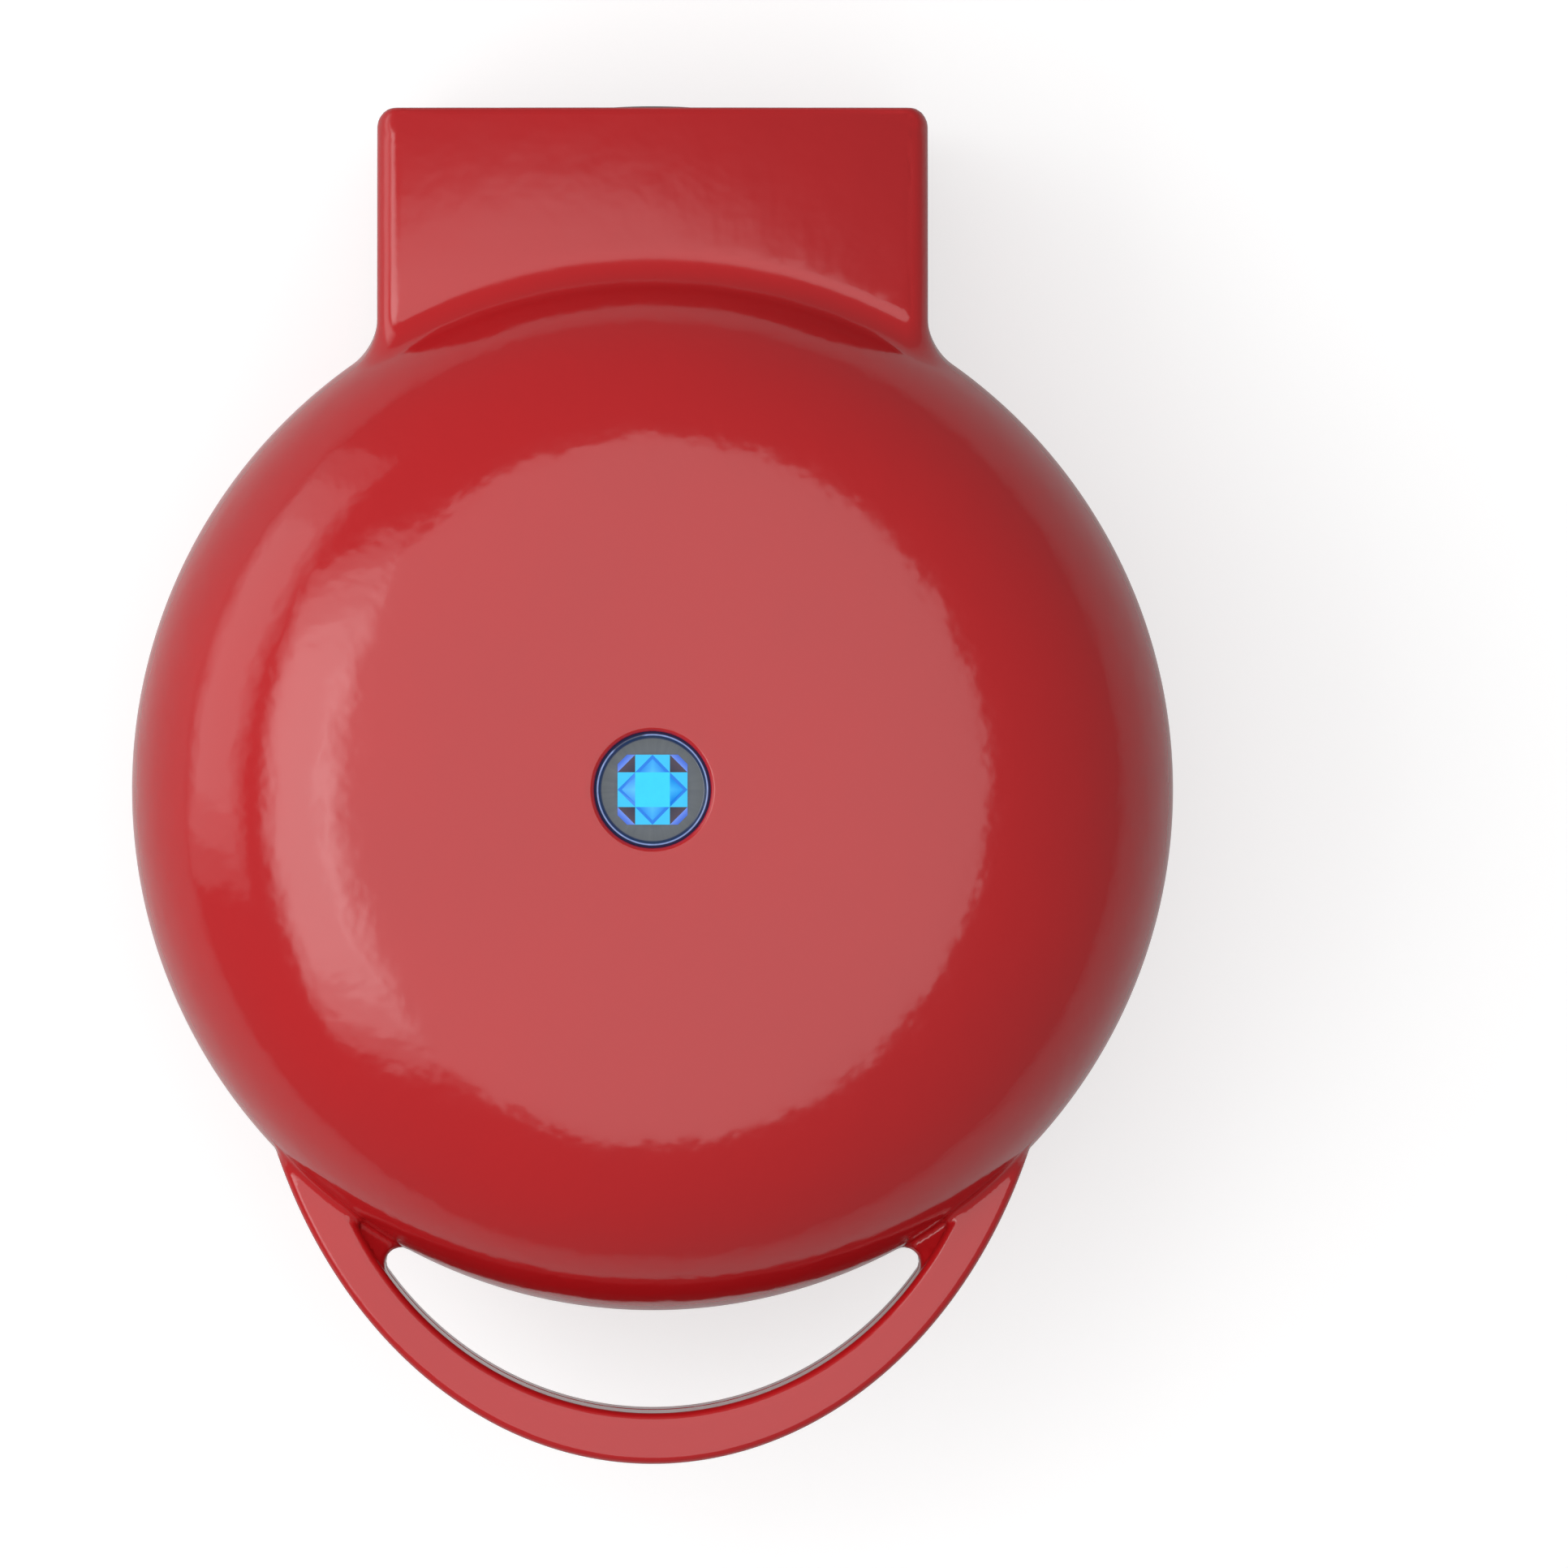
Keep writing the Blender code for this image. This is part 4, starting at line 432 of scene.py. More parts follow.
def gap_opening(x, y):
    """Plan distance to the finger gap between its ellipse and the body, with round ends: in the wedge
    between the two directions from an end's centre the distance is that to a circle. Also the distance to
    that wedge."""
    gap = ellipse(x, y, GAP_CENTRE, GAP_HALF, GAP_FRONT)
    sharp = np.maximum(gap, BODY_RADIUS - np.hypot(x, y))
    u, v = np.abs(x) - GAP_END_PLACE[0], y - GAP_END_PLACE[1]
    turn = TO_WALL[0] * TO_BODY[1] - TO_WALL[1] * TO_BODY[0]
    along_wall = (u * TO_BODY[1] - v * TO_BODY[0]) / turn
    along_body = (TO_WALL[0] * v - TO_WALL[1] * u) / turn
    wedge = -np.minimum(along_wall, along_body)
    return np.where(wedge < 0, np.hypot(u, v) - GAP_END, sharp), wedge


def eased(value, width):
    """From 0 to 1 as a value goes from minus to plus half a width, smoothly."""
    share = np.clip(0.5 + value / width, 0, 1)
    return share * share * (3 - 2 * share)


def with_handle(body, x, y, z, low, high, step, edge):
    """Body with a handle loop between two heights. A lower web closes the corner beyond each round end of
    the finger gap: its own heights are a step inside the loop's. The loop's fillet to the body is above and
    below only: its upright walls meet the body in a crisp corner."""
    band = handle_band(x, y)
    height = slab(z, low, high)
    loop = common(band, height, edge)
    opening, wedge = gap_opening(x, y)
    outer = ellipse(x, y, HANDLE_CENTRE, HANDLE_HALF, HANDLE_FRONT)
    within = ellipse(x, y, GAP_CENTRE, GAP_HALF, GAP_FRONT) - WEB_REACH
    web = np.maximum(np.maximum(np.maximum(within, -opening), wedge), y - HANDLE_CENTRE)
    lean = 1 - WEB_LEAN * np.minimum(within + WEB_REACH, 0)
    lowered = np.maximum(low + step[0] * lean - z, z - high + step[1] * lean)
    web = common(web, lowered, WEB_EDGE)
    own_height = height + (lowered - height) * eased(-within, FILLET_FADE)
    upright = eased(np.maximum(outer, -opening) - own_height, FILLET_FADE)
    return join(body, np.minimum(loop, web), LOOP_FILLET + (OUTER_FILLET - LOOP_FILLET) * upright)


def lid_field(x, y, z):
    """Lid moulding: a domed cup, the hinge block and the handle loop joined with fillets, less hollows."""
    r = np.hypot(x, y)
    side = np.abs(x)
    dome = superellipse(r, z - LID_SHOULDER, BODY_RADIUS, CROWN)
    plan = common(side - BLOCK_HALF, y - BLOCK_REAR, BLOCK_CORNER)
    share = np.clip(0.5 + (side - BLOCK_HALF - y + BLOCK_REAR) / BLOCK_ROUND_BLEND, 0, 1)
    edge = BLOCK_REAR_ROUND + (BLOCK_SIDE_ROUND - BLOCK_REAR_ROUND) * share
    heel = np.hypot(np.maximum(y - HINGE_Y, 0), np.maximum(HINGE_Z - z, 0)) - HINGE_SETBACK
    fall = BLOCK_CROWN * (side / BLOCK_HALF) ** 2
    fall = fall + BLOCK_FALL * (np.maximum(y - BLOCK_FALL_START, 0) / (BLOCK_REAR - BLOCK_FALL_START)) ** 2
    block = common(common(plan, z - BLOCK_TOP + fall, edge), heel, RIM_EDGE)
    block = np.maximum(block, BLOCK_ROOT - y)
    body = join(dome, block, BLOCK_FILLET)
    body = with_handle(body, x, y, z, LID_RIM - LOOP_OVERLAP, UPPER_LOOP_TOP, (0, WEB_STEP), LOOP_EDGE)
    body = common(body, LID_RIM - z, RIM_EDGE)

    hollow = superellipse(r, z - LID_SHOULDER, SHELL_INNER, CROWN - WALL)
    shell = cut(body, hollow, RIM_EDGE)
    behind = slab(z, 0, HINGE_Z)
    room = np.maximum(side - BLOCK_HALF + BLOCK_WALL, z - BLOCK_TOP + BLOCK_WALL)
    room = np.maximum(room, np.minimum(y - BLOCK_REAR + BLOCK_WALL, behind))
    room = common(room, -dome, HOLLOW_EDGE)
    room = np.maximum(room, BLOCK_ROOT - y)
    shell = cut(shell, room, ROOM_EDGE)

    boss_x, boss_y = side - RING_BOSS_PLACE, np.abs(y) - RING_BOSS_PLACE
    face, back = RING_BOSS_SPAN
    bosses = rod(boss_x, boss_y, z, RING_BOSS, LID_RIM + face, LID_RIM + back)
    inside = superellipse(r, z - LID_SHOULDER, BODY_RADIUS - BOSS_COVER, CROWN - BOSS_COVER)
    shell = np.minimum(shell, np.maximum(bosses, inside))
    shell = cut(shell, rod(boss_x, boss_y, z, SCREW_BORE, LID_RIM, LID_RIM + RING_BORE_END))
    pin_v, pin_w = y - HINGE_Y, z - HINGE_Z
    pin_boss = rod(pin_v, pin_w, side, PIN_BOSS, BARREL_HALF + BARREL_PLAY, BLOCK_HALF - 1.0, BARREL_EDGE)
    shell = np.minimum(shell, pin_boss)
    shell = cut(shell, rod(pin_v, pin_w, side, PIN_BORE, BARREL_HALF - 1.0, BLOCK_HALF - PIN_SKIN))
    shell = cut(shell, rod(x, y, z, LENS_HOLE, LID_SHOULDER, TOP + 5), LENS_HOLE_EDGE)
    across, above = LID_PASSAGE
    return cut(shell, rod(x - across, z - HINGE_Z - above, y, PASSAGE, *LID_PASSAGE_SPAN))


def base_field(x, y, z):
    """Base moulding: a bowl cut flat below, the heel under the hinge, the barrel and the handle loop."""
    r = np.hypot(x, y)
    side = np.abs(x)
    bowl = common(superellipse(r, BASE_SHOULDER - z, BODY_RADIUS, CROWN), FLOOR - z, BOWL_EDGE)
    plan = common(side - BLOCK_HALF, y - BLOCK_REAR, BLOCK_CORNER)
    block = common(plan, FLOOR - z, BLOCK_CORNER)
    block = np.maximum(block, BLOCK_ROOT - y)
    body = join(bowl, block, BLOCK_FILLET)
    body = with_handle(body, x, y, z, LOWER_LOOP_FOOT, BASE_RIM + LOOP_OVERLAP, (WEB_STEP, 0), LOOP_EDGE)
    body = common(body, z - BASE_RIM, RIM_EDGE)
    stop = (z - BASE_RIM) * math.cos(STOP_LEAN) + (y - STOP_Y) * math.sin(STOP_LEAN)
    body = common(body, stop, RIM_EDGE)

    hollow = superellipse(r, BASE_SHOULDER - z, SHELL_INNER, CROWN - WALL)
    hollow = common(hollow, INNER_FLOOR - z, HOLLOW_EDGE)
    shell = cut(body, hollow, RIM_EDGE)
    ceiling = BASE_RIM - BLOCK_WALL - CEILING_STEP
    room = np.maximum(side - BLOCK_HALF + BLOCK_WALL, y - BLOCK_REAR + BLOCK_WALL)
    room = np.maximum(room, slab(z, INNER_FLOOR, ceiling))
    room = np.maximum(common(room, -bowl, HOLLOW_EDGE), BLOCK_ROOT - y)
    shell = cut(shell, room)

    v, w = y - HINGE_Y, z - HINGE_Z
    toe = np.maximum(ARM_FRONT - y, (z - TOE_Z) * TOE_UP - (y - ARM_FRONT) * TOE_ACROSS)
    arm = np.maximum(np.maximum(toe, y - ARM_REAR), slab(side, ARM_START, BARREL_HALF))
    arm = np.maximum(arm, BASE_RIM - ARM_ROOT - z)
    neck = np.maximum(np.maximum(toe, y - HINGE_Y), slab(side, ARM_START, BARREL_HALF))
    neck = np.maximum(neck, (NECK_Z - z) + (y - ARM_REAR))
    arm = np.minimum(arm, neck)
    barrel = rod(v, w, side, BARREL, -1, BARREL_HALF, BARREL_EDGE)
    shell = np.minimum(shell, join(barrel, arm, ARM_FILLET))
    shell = cut(shell, rod(v, w, x, LEAD_BORE, -LEAD_BORE_HALF, LEAD_BORE_HALF))
    shell = cut(shell, rod(v, w, x, PIN_BORE, -BARREL_HALF - 1, BARREL_HALF + 1))
    reach = WINDOW_REACH
    lower_window = box((x, -WINDOW_END, -WINDOW_START), (v, -reach, 0), (w, -reach, LOWER_WINDOW_TOP))
    upper_window = box((x, WINDOW_START, WINDOW_END), (v, -reach, reach), (w, UPPER_WINDOW_FOOT, reach))
    shell = cut(shell, np.minimum(lower_window, upper_window), WINDOW_EDGE)

    boss_x, boss_y = side - RING_BOSS_PLACE, np.abs(y) - RING_BOSS_PLACE
    face, back = RING_BOSS_SPAN
    bosses = rod(boss_x, boss_y, z, RING_BOSS, BASE_RIM - back, BASE_RIM - face)
    inside = superellipse(r, BASE_SHOULDER - z, BODY_RADIUS - BOSS_COVER, CROWN - BOSS_COVER)
    shell = np.minimum(shell, np.maximum(bosses, inside))
    shell = cut(shell, rod(boss_x, boss_y, z, SCREW_BORE, BASE_RIM - RING_BORE_END, BASE_RIM))
    cover_x, cover_y = side - COVER_BOSS_PLACE, np.abs(y) - COVER_BOSS_PLACE
    shell = np.minimum(shell, rod(cover_x, cover_y, z, COVER_BOSS, FLOOR + 0.5, COVER_BOSS_TOP))
    shell = np.minimum(
        shell, rod(x, y - TERMINAL_Y, z, TERMINAL_BOSS, INNER_FLOOR - 0.5, TERMINAL_BOSS_TOP)
    )
    for foot_x, foot_y in FEET:
        u, v = side - foot_x, y - foot_y
        pad = rod(u, v, z, FOOT_PAD, *FOOT_PAD_SPAN, FOOT_PAD_EDGE)
        shell = join(shell, pad, FOOT_PAD_FILLET)
        shell = cut(shell, rod(u, v, z, FOOT_BORE, *FOOT_BORE_SPAN))
    shell = cut(shell, rod(cover_x, cover_y, z, SCREW_BORE, FLOOR - 1, COVER_BORE_TOP))
    shell = cut(shell, rod(x, y - TERMINAL_Y, z, SCREW_BORE, *TERMINAL_BORE_SPAN))
    shell = cut(shell, rod(x, y, z, COVER_OPENING, FLOOR - 1, INNER_FLOOR + 1))
    across, behind = BASE_PASSAGE
    shell = cut(shell, rod(x - across, y - HINGE_Y - behind, z, PASSAGE, ceiling - 1, BASE_RIM + 1))
    shell = cut(shell, box(*((value, *span) for value, span in zip((x, y, z), SLOT))))
    return cut(shell, rod(x, z - GLAND_Z, y, GLAND_HOLE, *GLAND_HOLE_SPAN))


def contoured(field, low, high, cell):
    """Mesh of the surface where a field is zero, by dual contouring. Each cell of a grid that the surface
    crosses gets one point: where the planes that touch the surface at the cell's crossed edges meet best,
    with a slight pull to the mean of those crossings. Each crossed grid edge gets a quad of the four points
    round it."""
    low, high = np.array(low, float), np.array(high, float)
    counts = np.ceil((high - low) / cell).astype(int) + 1
    lines = [low[i] + cell * np.arange(counts[i]) for i in range(3)]
    values = field(*np.meshgrid(*lines, indexing="ij", sparse=True))
    cells = counts - 1
    owners, places, slopes, quads = [], [], [], []
    for axis in range(3):
        across = [(axis + 1) % 3, (axis + 2) % 3]
        a, b = np.moveaxis(values, axis, 0)[:-1], np.moveaxis(values, axis, 0)[1:]
        start = np.argwhere(np.moveaxis((a < 0) != (b < 0), 0, axis))
        end = start + np.eye(3, dtype=int)[axis]
        a, b = values[tuple(start.T)], values[tuple(end.T)]
        place = start.astype(float)
        place[:, axis] += a / (a - b)
        slope = gradient(field, low + cell * place)[0]
        ring = []
        for step in ((-1, -1), (0, -1), (0, 0), (-1, 0)):
            owner = start.copy()
            owner[:, across] += step
            ring.append(np.ravel_multi_index(owner.T, cells))
            owners.append(ring[-1])
            places.append(place)
            slopes.append(slope)
        ring = np.stack(ring, 1)
        quads.append(np.where((a < 0)[:, None], ring, ring[:, ::-1]))
    found, owner = np.unique(np.concatenate(owners), return_inverse=True)
    places, slopes = np.concatenate(places), np.concatenate(slopes)

    def summed(amount):
        return np.bincount(owner, amount, len(found))

    mean = np.stack([summed(places[:, i]) for i in range(3)], 1) / np.bincount(owner)[:, None]
    rise = ((places - mean[owner]) * slopes).sum(1)
    matrix = np.empty((len(found), 3, 3))
    for i in range(3):
        for j in range(3):
            matrix[:, i, j] = summed(slopes[:, i] * slopes[:, j])
    aim = np.stack([summed(slopes[:, i] * rise) for i in range(3)], 1)
    shift = np.linalg.solve(matrix + MEAN_PULL * np.eye(3), aim[..., None])[..., 0]
    corner = np.stack(np.unravel_index(found, cells), 1)
    points = low + cell * np.clip(mean + shift, corner, corner + 1)
    return points, np.searchsorted(found, np.concatenate(quads))


def settled(field, points, reach):
    """Points drawn onto the surface along the field's gradient, and the surface's normals there."""
    for _ in range(2):
        normals, value = gradient(field, points)
        points = points - np.clip(value, -reach, reach)[:, None] * normals
    return points, gradient(field, points)[0]


def thinned(points, quads, triangles):
    """Mesh with so many triangles left, taken away where it is flattest."""
    data = mesh_data("dense", points, [quads])
    piece = bpy.data.objects.new("dense", data)
    bpy.context.scene.collection.objects.link(piece)
    thinning = piece.modifiers.new("thinning", "DECIMATE")
    thinning.ratio = triangles / (2 * len(quads))
    thinning.use_collapse_triangulate = True
    thin = piece.evaluated_get(bpy.context.evaluated_depsgraph_get()).to_mesh()
    places, corners = np.empty(3 * len(thin.vertices)), np.empty(3 * len(thin.polygons), np.int32)
    thin.vertices.foreach_get("co", places)
    thin.loops.foreach_get("vertex_index", corners)
    bpy.data.objects.remove(piece)
    bpy.data.meshes.remove(data)
    return places.reshape(-1, 3), corners.reshape(-1, 3)


def gradient(field, points, reach=0.02):
    """Unit gradient of a field at points, from differences either way, and its value over the gradient's
    length."""
    rises = [field(*(points + step).T) - field(*(points - step).T) for step in np.eye(3) * reach]
    slope = np.stack(rises, 1) / (2 * reach)
    length = np.maximum(np.linalg.norm(slope, axis=1), 0.3)
    return slope / length[:, None], field(*points.T) / length


def placed(points):
    """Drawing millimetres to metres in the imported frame."""
    return np.asarray(points, float) * MM + (0, CENTRE_Y, 0)


def mesh_data(name, points, faces):
    """Mesh of numpy points and arrays of faces, one array for each number of corners."""
    data = bpy.data.meshes.new(name)
    corners = np.concatenate([f.ravel() for f in faces]).astype(np.int32)
    sizes = np.concatenate([np.full(len(f), f.shape[1]) for f in faces])
    data.vertices.add(len(points))
    data.vertices.foreach_set("co", np.asarray(points, np.float32).ravel())
    data.loops.add(len(corners))
    data.loops.foreach_set("vertex_index", corners)
    data.polygons.add(len(sizes))
    data.polygons.foreach_set("loop_start", (np.cumsum(sizes) - sizes).astype(np.int32))
    data.update(calc_edges=True)
    data.validate()
    return data


def add_mesh(name, points, faces, finish, normals=None):
    """Smooth object of drawing points and faces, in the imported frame."""
    data = mesh_data(name, placed(points), faces)
    data.polygons.foreach_set("use_smooth", np.full(len(data.polygons), True))
    data.materials.append(finish)
    piece = bpy.data.objects.new(name, data)
    bpy.context.scene.collection.objects.link(piece)
    if normals is not None:
        data.normals_split_custom_set_from_vertices(normals.astype(np.float32))
    return piece


def fit(piece, body, slot, *nodes):
    """Let a piece ride on its body and stand for its nodes. Its slot is not used."""
    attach(piece, body)
    if nodes:
        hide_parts(*nodes)
    return piece


def crowned(points, normals):
    """Normals that shade the hinge block's flat top as a gentle crown: there they lean outwards with the
    distance from a line left of the middle and rearwards with the distance from the front."""
    x, y, z = points.T
    dome = superellipse(np.hypot(x, y), z - LID_SHOULDER, BODY_RADIUS, CROWN)
    top = eased(dome - BLOCK_FILLET, 1.0) * eased(normals[:, 2] - 0.97, 0.04) * (z > BLOCK_TOP - 2.5)
    outwards = SHADED_CROWN * (x + SHADED_CROWN_SHIFT)
    rearwards = SHADED_FALL * np.maximum(y - BLOCK_FALL_START, 0)
    lean = np.stack([outwards, rearwards, np.zeros(len(points))], 1)
    turned_normals = normals + lean * top[:, None]
    return turned_normals / np.linalg.norm(turned_normals, axis=1, keepdims=True)


def add_moulding(name, field, span, cell, triangles, finish, shading=None):
    """A piece from its distance field within a span, thinned, and shaded with the field's own normals or
    with what a shading makes of them."""
    points, faces = contoured(field, *span, cell)
    if 2 * len(faces) > triangles:
        points, faces = thinned(settled(field, points, cell / 2)[0], faces, triangles)
    points, normals = settled(field, points, cell / 2)
    if shading is not None:
        normals = shading(points, normals)
    return add_mesh(name, points, [faces], finish, normals)


def softened(profile, radius, steps=4, closed=False):
    """Profile whose corners give way to parabola arcs that start and end radius away from each corner,
    or a little under half a side away where the side is short."""
    profile = np.asarray(profile, float)
    before, after = np.roll(profile, 1, 0), np.roll(profile, -1, 0)
    share = np.linspace(0, 1, steps + 1)[:, None]
    places = []
    for start, corner, end in zip(before, profile, after):
        into, out = start - corner, end - corner
        near = corner + into * min(0.48, radius / max(np.linalg.norm(into), 1e-9))
        far = corner + out * min(0.48, radius / max(np.linalg.norm(out), 1e-9))
        places.append((1 - share) ** 2 * near + 2 * share * (1 - share) * corner + share**2 * far)
    if not closed:
        places[0], places[-1] = profile[:1], profile[-1:]
    return np.concatenate(places)


def with_poles(profile, radius):
    """Open profile whose corners are softened, but for those next to its ends on the axis."""
    return np.concatenate([profile[:1], softened(profile[1:-1], radius), profile[-1:]])


def turned(profile, sides, closed=False):
    """Points and faces of a profile of (radius, height) carried round the Z axis: at angle a the point is
    (radius cos a, radius sin a, height). An open profile starts and ends on the axis, in two poles."""
    profile = np.asarray(profile, float)
    angles = np.linspace(0, 2 * np.pi, sides, endpoint=False)
    rings = profile if closed else profile[1:-1]
    radius, height = rings[:, :1], np.repeat(rings[:, 1:], sides, 1)
    points = np.stack([radius * np.cos(angles), radius * np.sin(angles), height], 2).reshape(-1, 3)
    grid = np.arange(len(rings) * sides).reshape(len(rings), sides)
    low, high = (grid, np.roll(grid, -1, 0)) if closed else (grid[:-1], grid[1:])
    quads = np.stack([low, np.roll(low, -1, 1), np.roll(high, -1, 1), high], 2).reshape(-1, 4)
    faces = [quads]
    if not closed:
        poles = np.array([(0, 0, profile[0, 1]), (0, 0, profile[-1, 1])])
        first, last = len(points), len(points) + 1
        points = np.concatenate([points, poles])
        start = np.stack([np.full(sides, first), np.roll(grid[0], -1), grid[0]], 1)
        end = np.stack([np.full(sides, last), grid[-1], np.roll(grid[-1], -1)], 1)
        faces.append(np.concatenate([start, end]))
    return points, faces


def laid(points, place, axis):
    """Points turned so that their Z axis lies along axis, and moved to place."""
    turn = np.array(Vector((0, 0, 1)).rotation_difference(Vector(axis)).to_matrix())
    return points @ turn.T + np.asarray(place, float)


def add_turned(name, profile, sides, finish, place=(0, 0, 0), axis=(0, 0, 1), closed=False):
    """A turned piece, sharp only where its profile is."""
    points, faces = turned(profile, sides, closed)
    piece = add_mesh(name, laid(points, place, axis), faces, finish)
    piece.data.set_sharp_from_angle(angle=math.radians(40))
    return piece


def add_screw(name, size, finish, place, axis):
    """Pan-head screw, its head's underside at place. The head's dome sinks into a cross recess:
    height less depth where the smaller of |x| and |y| is under the arm's half width, inside a circle.
    The shank's radius rises and falls with the thread's pitch."""
    head, height, shank, length = size
    turns = int((length - 1.0) / THREAD_PITCH)
    thread = [
        (shank * (THREAD_ROOT if step % 2 else 1.0), -1.0 - THREAD_PITCH * step / 2)
        for step in range(2 * turns, -1, -1)
    ]
    r = np.linspace(1, 0, 15)[:-1]
    crown = height * (0.62 + 0.38 * np.sqrt(1 - (0.97 * r) ** 2))
    profile = [(0, -length), (shank * 0.5, -length)] + thread
    profile += [(shank, 0), (head, 0), (head, height * 0.5)]
    profile += list(zip(head * r, crown)) + [(0, height)]
    points, faces = turned(profile, SCREW_SIDES)
    across = np.minimum(np.abs(points[:, 0]), np.abs(points[:, 1])) / head
    reach = np.hypot(points[:, 0], points[:, 1]) / head
    on_top = points[:, 2] > height * 0.55
    wall = np.clip((0.2 - across) / 0.08, 0, 1) * np.clip((0.62 - reach) / 0.1, 0, 1)
    points[:, 2] -= on_top * wall * height * 0.55 * (1.15 - reach)
    piece = add_mesh(name, laid(points, place, axis), faces, finish)
    piece.data.set_sharp_from_angle(angle=math.radians(35))
    return piece


def plate_field(x, y, depth):
    """Cast plate by depth behind the parting plane: a disc, less a drafted dish, with drafted square pegs
    joined to the dish's floor and clipped by a drafted cone, and three screw bosses behind."""
    r = np.hypot(x, y)
    disc = common(r - PLATE_RADIUS, slab(depth, PLATE_RIM, PLATE_BACK), PLATE_EDGE)
    dish = common(r - MOUTH + (depth - PLATE_RIM) * MOUTH_DRAFT, depth - PLATE_FLOOR, DISH_FILLET)
    plate = cut(disc, dish, MOUTH_EDGE)
    column = np.clip(np.round(x / PEG_PITCH), -3, 3) * PEG_PITCH
    row = (np.clip(np.floor(y / PEG_PITCH), -3, 2) + 0.5) * PEG_PITCH
    inner = np.hypot(np.maximum(np.abs(column) - PEG_FOOT, 0), np.maximum(np.abs(row) - PEG_FOOT, 0))
    drawn = (PLATE_FLOOR - depth) * PEG_DRAFT
    across, along = np.abs(x - column) - PEG_FOOT + drawn, np.abs(y - row) - PEG_FOOT + drawn
    pegs = common(across, along, PEG_CORNER)
    pegs = common(pegs, r - PEG_CIRCLE + drawn, PEG_CUT_CORNER) * PEG_SLOPE
    pegs = common(pegs, PEG_TIP_DEPTH - depth, PEG_TIP_EDGE)
    pegs = np.maximum(pegs, depth - PLATE_FLOOR - 1)
    pegs = np.where(inner < PEG_KEPT, pegs, NO_PEG)
    plate = join(plate, pegs, PEG_FILLET)
    for u, v in PLATE_SCREWS:
        boss = rod(x - u, y - v, depth, PLATE_BOSS, PLATE_BACK - 1, PLATE_BOSS_END, PLATE_BOSS_EDGE)
        plate = join(plate, boss, PLATE_BOSS_FILLET)
        plate = cut(plate, rod(x - u, y - v, depth, PLATE_BORE, *PLATE_BORE_SPAN))
    return plate


def ring_field(x, y, depth):
    """Inner ring by depth: a flange, a skirt and a ledge round the centre line, with recessed holes."""
    r = np.hypot(x, y)
    flange = common(slab(r, SKIRT_INNER, RING_OUTER), slab(depth, RING_FACE, RING_BACK), RING_EDGE)
    skirt = common(slab(r, SKIRT_INNER, SKIRT_OUTER), slab(depth, RING_FACE, LEDGE_BACK), RING_EDGE)
    ledge = common(slab(r, LEDGE_INNER, SKIRT_OUTER), slab(depth, LEDGE_FACE, LEDGE_BACK), LEDGE_EDGE)
    ring = join(join(flange, skirt, RING_FILLET), ledge, RING_FILLET)
    boss_x, boss_y = np.abs(x) - RING_BOSS_PLACE, np.abs(y) - RING_BOSS_PLACE
    recess = rod(boss_x, boss_y, depth, HEAD_RECESS, -1, RING_FACE + RING_RECESS)
    ring = cut(ring, recess, RECESS_EDGE)
    return cut(ring, rod(boss_x, boss_y, depth, SCREW_BORE, *RING_BORE_SPAN))


def cover_field(x, y, z):
    """Bottom cover: a disc with six round-ended vents and recessed screw holes."""
    r = np.hypot(x, y)
    cover = common(r - COVER_RADIUS, slab(z, COVER_FACE, COVER_BACK), COVER_EDGE)
    row = (np.clip(np.floor(y / VENT_PITCH), -3, 2) + 0.5) * VENT_PITCH
    vent = np.hypot(np.maximum(np.abs(x) - VENT_HALF, 0), y - row) - VENT_RADIUS
    cover = cut(cover, vent, VENT_EDGE)
    groove = np.hypot(r - GROOVE_PLACE[0], z - GROOVE_PLACE[1]) - GROOVE_RADIUS
    cover = cut(cover, groove, GROOVE_EDGE)
    boss_x, boss_y = np.abs(x) - COVER_BOSS_PLACE, np.abs(y) - COVER_BOSS_PLACE
    cover = cut(cover, rod(boss_x, boss_y, z, HEAD_RECESS, 2, COVER_RECESS_TOP), RECESS_EDGE)
    return cut(cover, rod(boss_x, boss_y, z, SCREW_BORE, 2, 7))


def jewel_quarter():
    """Points of a quarter of the jewel, whose other quarters are its quarter turns about the centre."""
    half, table, cut_off = JEWEL_HALF, JEWEL_TABLE, JEWEL_CORNER
    line = JEWEL_LINE * math.sqrt(2)
    line_rise = line * (JEWEL_STEP - JEWEL_SIDE) / table
    return {
        "table_side": (table, 0, JEWEL_TOP),
        "table_low": (table, table - line, JEWEL_TOP),
        "table_corner": (table, table, JEWEL_TOP),
        "table_high": (table - line, table, JEWEL_TOP),
        "inner_tip": (half - line, 0, JEWEL_SIDE + line_rise),
        "side": (half, 0, JEWEL_SIDE),
        "right_step": (half, table, JEWEL_STEP),
        "upper_step": (table, half, JEWEL_STEP),
        "right_cut": (half, cut_off, JEWEL_CUT),
        "upper_cut": (cut_off, half, JEWEL_CUT),
        "side_foot": (half, 0, JEWEL_FOOT),
        "right_foot": (half, cut_off, JEWEL_FOOT),
        "upper_foot": (cut_off, half, JEWEL_FOOT),
    }


